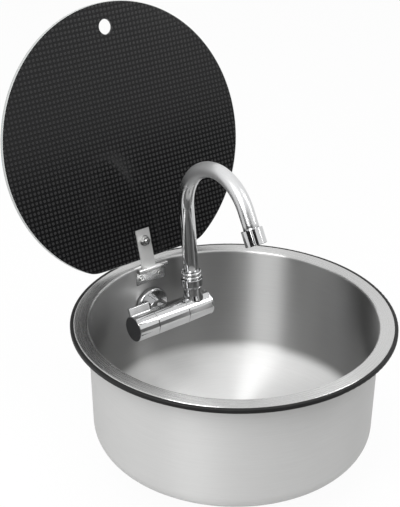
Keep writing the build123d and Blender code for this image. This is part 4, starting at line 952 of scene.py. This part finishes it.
class SINK_OT_screws(bpy.types.Operator):
    """Make the hinge screws and the waste screw with their cross recesses"""

    bl_idname = "sink.screws"
    bl_label = "Screws"

    def execute(self, context):
        size = context.scene.sink_fasteners
        low, high = np.array(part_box("hinge_screws"))
        radius, middle = (high[2] - low[2]) / 2, (low[2] + high[2]) / 2
        face = low[1] + size.screw_head
        head = (radius, size.screw_head)
        body = (size.screw_radius, high[1] - face - TIP_LENGTH, size.screw_pitch)
        grids = [
            pan_screw(np.array([x, face, middle]), -ALONG_Y, head, body, HEAD_SUNK)
            for x in (low[0] + radius, high[0] - radius)
        ]
        piece = add_surface("hinge_pan_screws", grids, wrap_rows=False)
        self.dress(piece, "hinge_screws", "hardware_steel")
        low, high = np.array(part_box("waste_screw"))
        face = high[2] - size.waste_head
        head = ((high[0] - low[0]) / 2, size.waste_head)
        body = (size.waste_radius, face - low[2] - TIP_LENGTH, size.waste_pitch)
        grid = pan_screw(face * ALONG_Z, ALONG_Z, head, body, 0.0)
        piece = add_surface("waste_pan_screw", [grid], wrap_rows=False)
        self.dress(piece, "waste_screw", "hardware_steel")
        return {"FINISHED"}

    def dress(self, piece, node, slot):
        """Gives a screw its finish and its place in the model."""
        wear(piece, bpy.data.materials["hardware steel"])
        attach(piece, "basin")
        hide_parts(node)


class SINK_OT_threads(bpy.types.Operator):
    """Cut the threads that show: the lid bolt's end and the tap's shank"""

    bl_idname = "sink.threads"
    bl_label = "Threads"

    def execute(self, context):
        size, lid = context.scene.sink_fasteners, context.scene.sink_lid
        bolt = HINGE_POINT + lid.bolt_side * ALONG_X - lid.bolt_out * LID_BACK
        grid = threaded_sleeve(
            bolt, LID_OUT, -lid.bolt_end + BOLT_INSET, -lid.bolt_end + lid.bolt_shown,
            lid.bolt_radius + BOLT_CREST, lid.bolt_pitch, lid.bolt_pitch * THREAD_DEPTH,
        )
        piece = add_surface("lid_bolt_thread", [grid])
        wear(piece, bpy.data.materials["hardware steel"])
        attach(piece, "lid")
        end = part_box("tap_body")[1][1]
        grid = threaded_sleeve(
            SHANK_POINT, ALONG_Y, end - size.hose_thread, end - SHANK_INSET,
            size.shank_radius + SHANK_CREST, size.shank_pitch,
            size.shank_pitch * PIPE_THREAD_DEPTH, steps=96,
        )
        piece = add_surface("shank_thread", [grid])
        wear(piece, bpy.data.materials["chrome"])
        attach(piece, "basin")
        return {"FINISHED"}


class SINK_OT_stage(bpy.types.Operator):
    """Set up the camera, the pale floor, the lamps and the sky"""

    bl_idname = "sink.stage"
    bl_label = "Stage"

    def execute(self, context):
        scene = context.scene
        settings = scene.sink_stage
        low = CAD_BOX[0][2] - settings.floor_drop
        self.camera(scene, settings)
        self.floor(scene, low)
        self.sky(scene, settings)
        self.cards(low + CARD_LIFT)
        self.lamps(scene, settings)
        scene.view_settings.view_transform = "Standard"
        return {"FINISHED"}

    def camera(self, scene, settings):
        """The camera at the photograph's angle."""
        data = bpy.data.cameras.new("camera")
        data.lens = settings.focal
        data.sensor_width = 36.0
        data.clip_end = 30.0
        camera = bpy.data.objects.new("camera", data)
        turn = Matrix((CAMERA_RIGHT, CAMERA_UP, -CAMERA_FORWARD)).transposed().to_4x4()
        camera.matrix_world = Matrix.Translation(settings.camera_at) @ turn
        scene.collection.objects.link(camera)
        scene.camera = camera

    def floor(self, scene, low):
        """A pale disc under the object, white to the camera with the object's shadow on it."""
        height, away = np.array([low]), np.array([FLOOR_RADIUS])
        rim = turned_grid(ORIGIN, ALONG_Z, height, away, FLOOR_STEPS)
        mesh = bpy.data.meshes.new("floor")
        mesh.from_pydata(rim.tolist(), [], [list(range(len(rim)))])
        floor = bpy.data.objects.new("floor", mesh)
        scene.collection.objects.link(floor)
        material, n, shader, place = start_material("floor")
        soil = group_node(n, "Smudges", Vector=place, Size=2.0)
        tone = n.tint((0.82, 0.82, 0.82), (soil, "Mask"), 1.0, 0.98)
        n.put(shader, Base_Color=tone, Roughness=0.9)
        white = (n.add("ShaderNodeEmission"), "Emission")
        seen = white_where_seen(n, (shader, "BSDF"), white, FLOOR_WHITE)
        n.put(n.tree.get_output_node("ALL"), Surface=seen)
        wear(floor, material)

    def sky(self, scene, settings):
        """A plain room round the object, white where it is seen or mirrored."""
        scene.world = bpy.data.worlds.new("studio")
        scene.world.use_nodes = True
        n = Nodes(scene.world.node_tree)
        room, white = (
            (n.put(n.add("ShaderNodeBackground"), Color=(1, 1, 1, 1), Strength=level), "Background")
            for level in (settings.room_level, 1.0)
        )
        n.put(n.add("ShaderNodeOutputWorld"), Surface=white_where_seen(n, room, white, 1.0))

    def cards(self, low):
        """Black cards round the object, as a photographer sets them to draw dark lines in
        chrome. Only mirrors see them. A card is the patch of a large ball between two bearings
        from the camera's side and two heights, drawn in where it would go through the floor."""
        material, n, shader, place = start_material("black card")
        nap = group_node(n, "Grain", Vector=place)
        n.put(shader, Base_Color=n.tint((0.02, 0.02, 0.02), (nap, "Tone"), 0.8, 1.2), Roughness=1.0)
        for name, bearings, heights, distance in CARDS:
            bearing, height = (np.linspace(*ends, CARD_STEPS) for ends in (bearings, heights))
            ray = ray_towards(bearing[:, None], height[None, :])
            to_floor = low / np.minimum(ray[..., 2], -1e-6)
            reach = np.where(ray[..., 2] < 0, np.minimum(distance, to_floor), distance)
            card = add_surface(name, [ray * reach[..., None]], wrap_rows=False, wrap_columns=False)
            card.visible_camera = False
            card.visible_diffuse = False
            card.visible_shadow = False
            wear(card, material)

    def lamps(self, scene, settings):
        """Large soft lamps, which metal mirrors as pale panels."""
        for name, bearing, height, distance, size, level, mirrored in LAMPS:
            ray = Vector(ray_towards(bearing, height))
            data = bpy.data.lights.new(name, "AREA")
            data.shape = "RECTANGLE"
            data.size, data.size_y = size
            data.energy = level * math.pi * size[0] * size[1] * settings.lamp_level
            lamp = bpy.data.objects.new(name, data)
            turn = (-ray).to_track_quat("-Z", "Y").to_matrix().to_4x4()
            lamp.matrix_world = Matrix.Translation(LAMPS_AIM + distance * ray) @ turn
            lamp.visible_glossy = mirrored
            scene.collection.objects.link(lamp)


class SINK_PT_panel(bpy.types.Panel):
    """Lists the sink's settings and its operators"""

    bl_idname = "SINK_PT_panel"
    bl_label = "Round Sink"
    bl_space_type = "VIEW_3D"
    bl_region_type = "UI"
    bl_category = "Round Sink"

    def draw(self, context):
        for title, group, operators in PANEL_ROWS:
            box = self.layout.box()
            box.label(text=title)
            settings = getattr(context.scene, group)
            for key in settings.__annotations__:
                box.prop(settings, key)
            for operator in operators:
                box.operator(operator)


PANEL_ROWS = (
    ("Finishes", "sink_finish", ("sink.finishes",)),
    ("Bowl", "sink_bowl", ("sink.bowl",)),
    ("Spout", "sink_spout", ("sink.spout",)),
    ("Lid", "sink_lid", ("sink.lid",)),
    ("Fasteners", "sink_fasteners", ("sink.screws", "sink.threads")),
    ("Fineness", "sink_detail", ()),
    ("Stage", "sink_stage", ("sink.stage",)),
)
SETTINGS = {
    "sink_detail": SINK_PG_detail,
    "sink_bowl": SINK_PG_bowl,
    "sink_spout": SINK_PG_spout,
    "sink_lid": SINK_PG_lid,
    "sink_fasteners": SINK_PG_fasteners,
    "sink_finish": SINK_PG_finish,
    "sink_stage": SINK_PG_stage,
}
CLASSES = (
    *SETTINGS.values(),
    SINK_OT_finishes,
    SINK_OT_bowl,
    SINK_OT_spout,
    SINK_OT_lid,
    SINK_OT_screws,
    SINK_OT_threads,
    SINK_OT_stage,
    SINK_PT_panel,
)


def register():
    for cls in CLASSES:
        bpy.utils.register_class(cls)
    for name, kind in SETTINGS.items():
        setattr(bpy.types.Scene, name, PointerProperty(type=kind))


def unregister():
    for name in SETTINGS:
        delattr(bpy.types.Scene, name)
    for cls in reversed(CLASSES):
        bpy.utils.unregister_class(cls)


def main():
    register()
    bpy.ops.sink.stage()
    bpy.ops.sink.finishes()
    bpy.ops.sink.bowl()
    bpy.ops.sink.spout()
    bpy.ops.sink.lid()
    bpy.ops.sink.screws()
    bpy.ops.sink.threads()


if __name__ == "__main__":
    main()
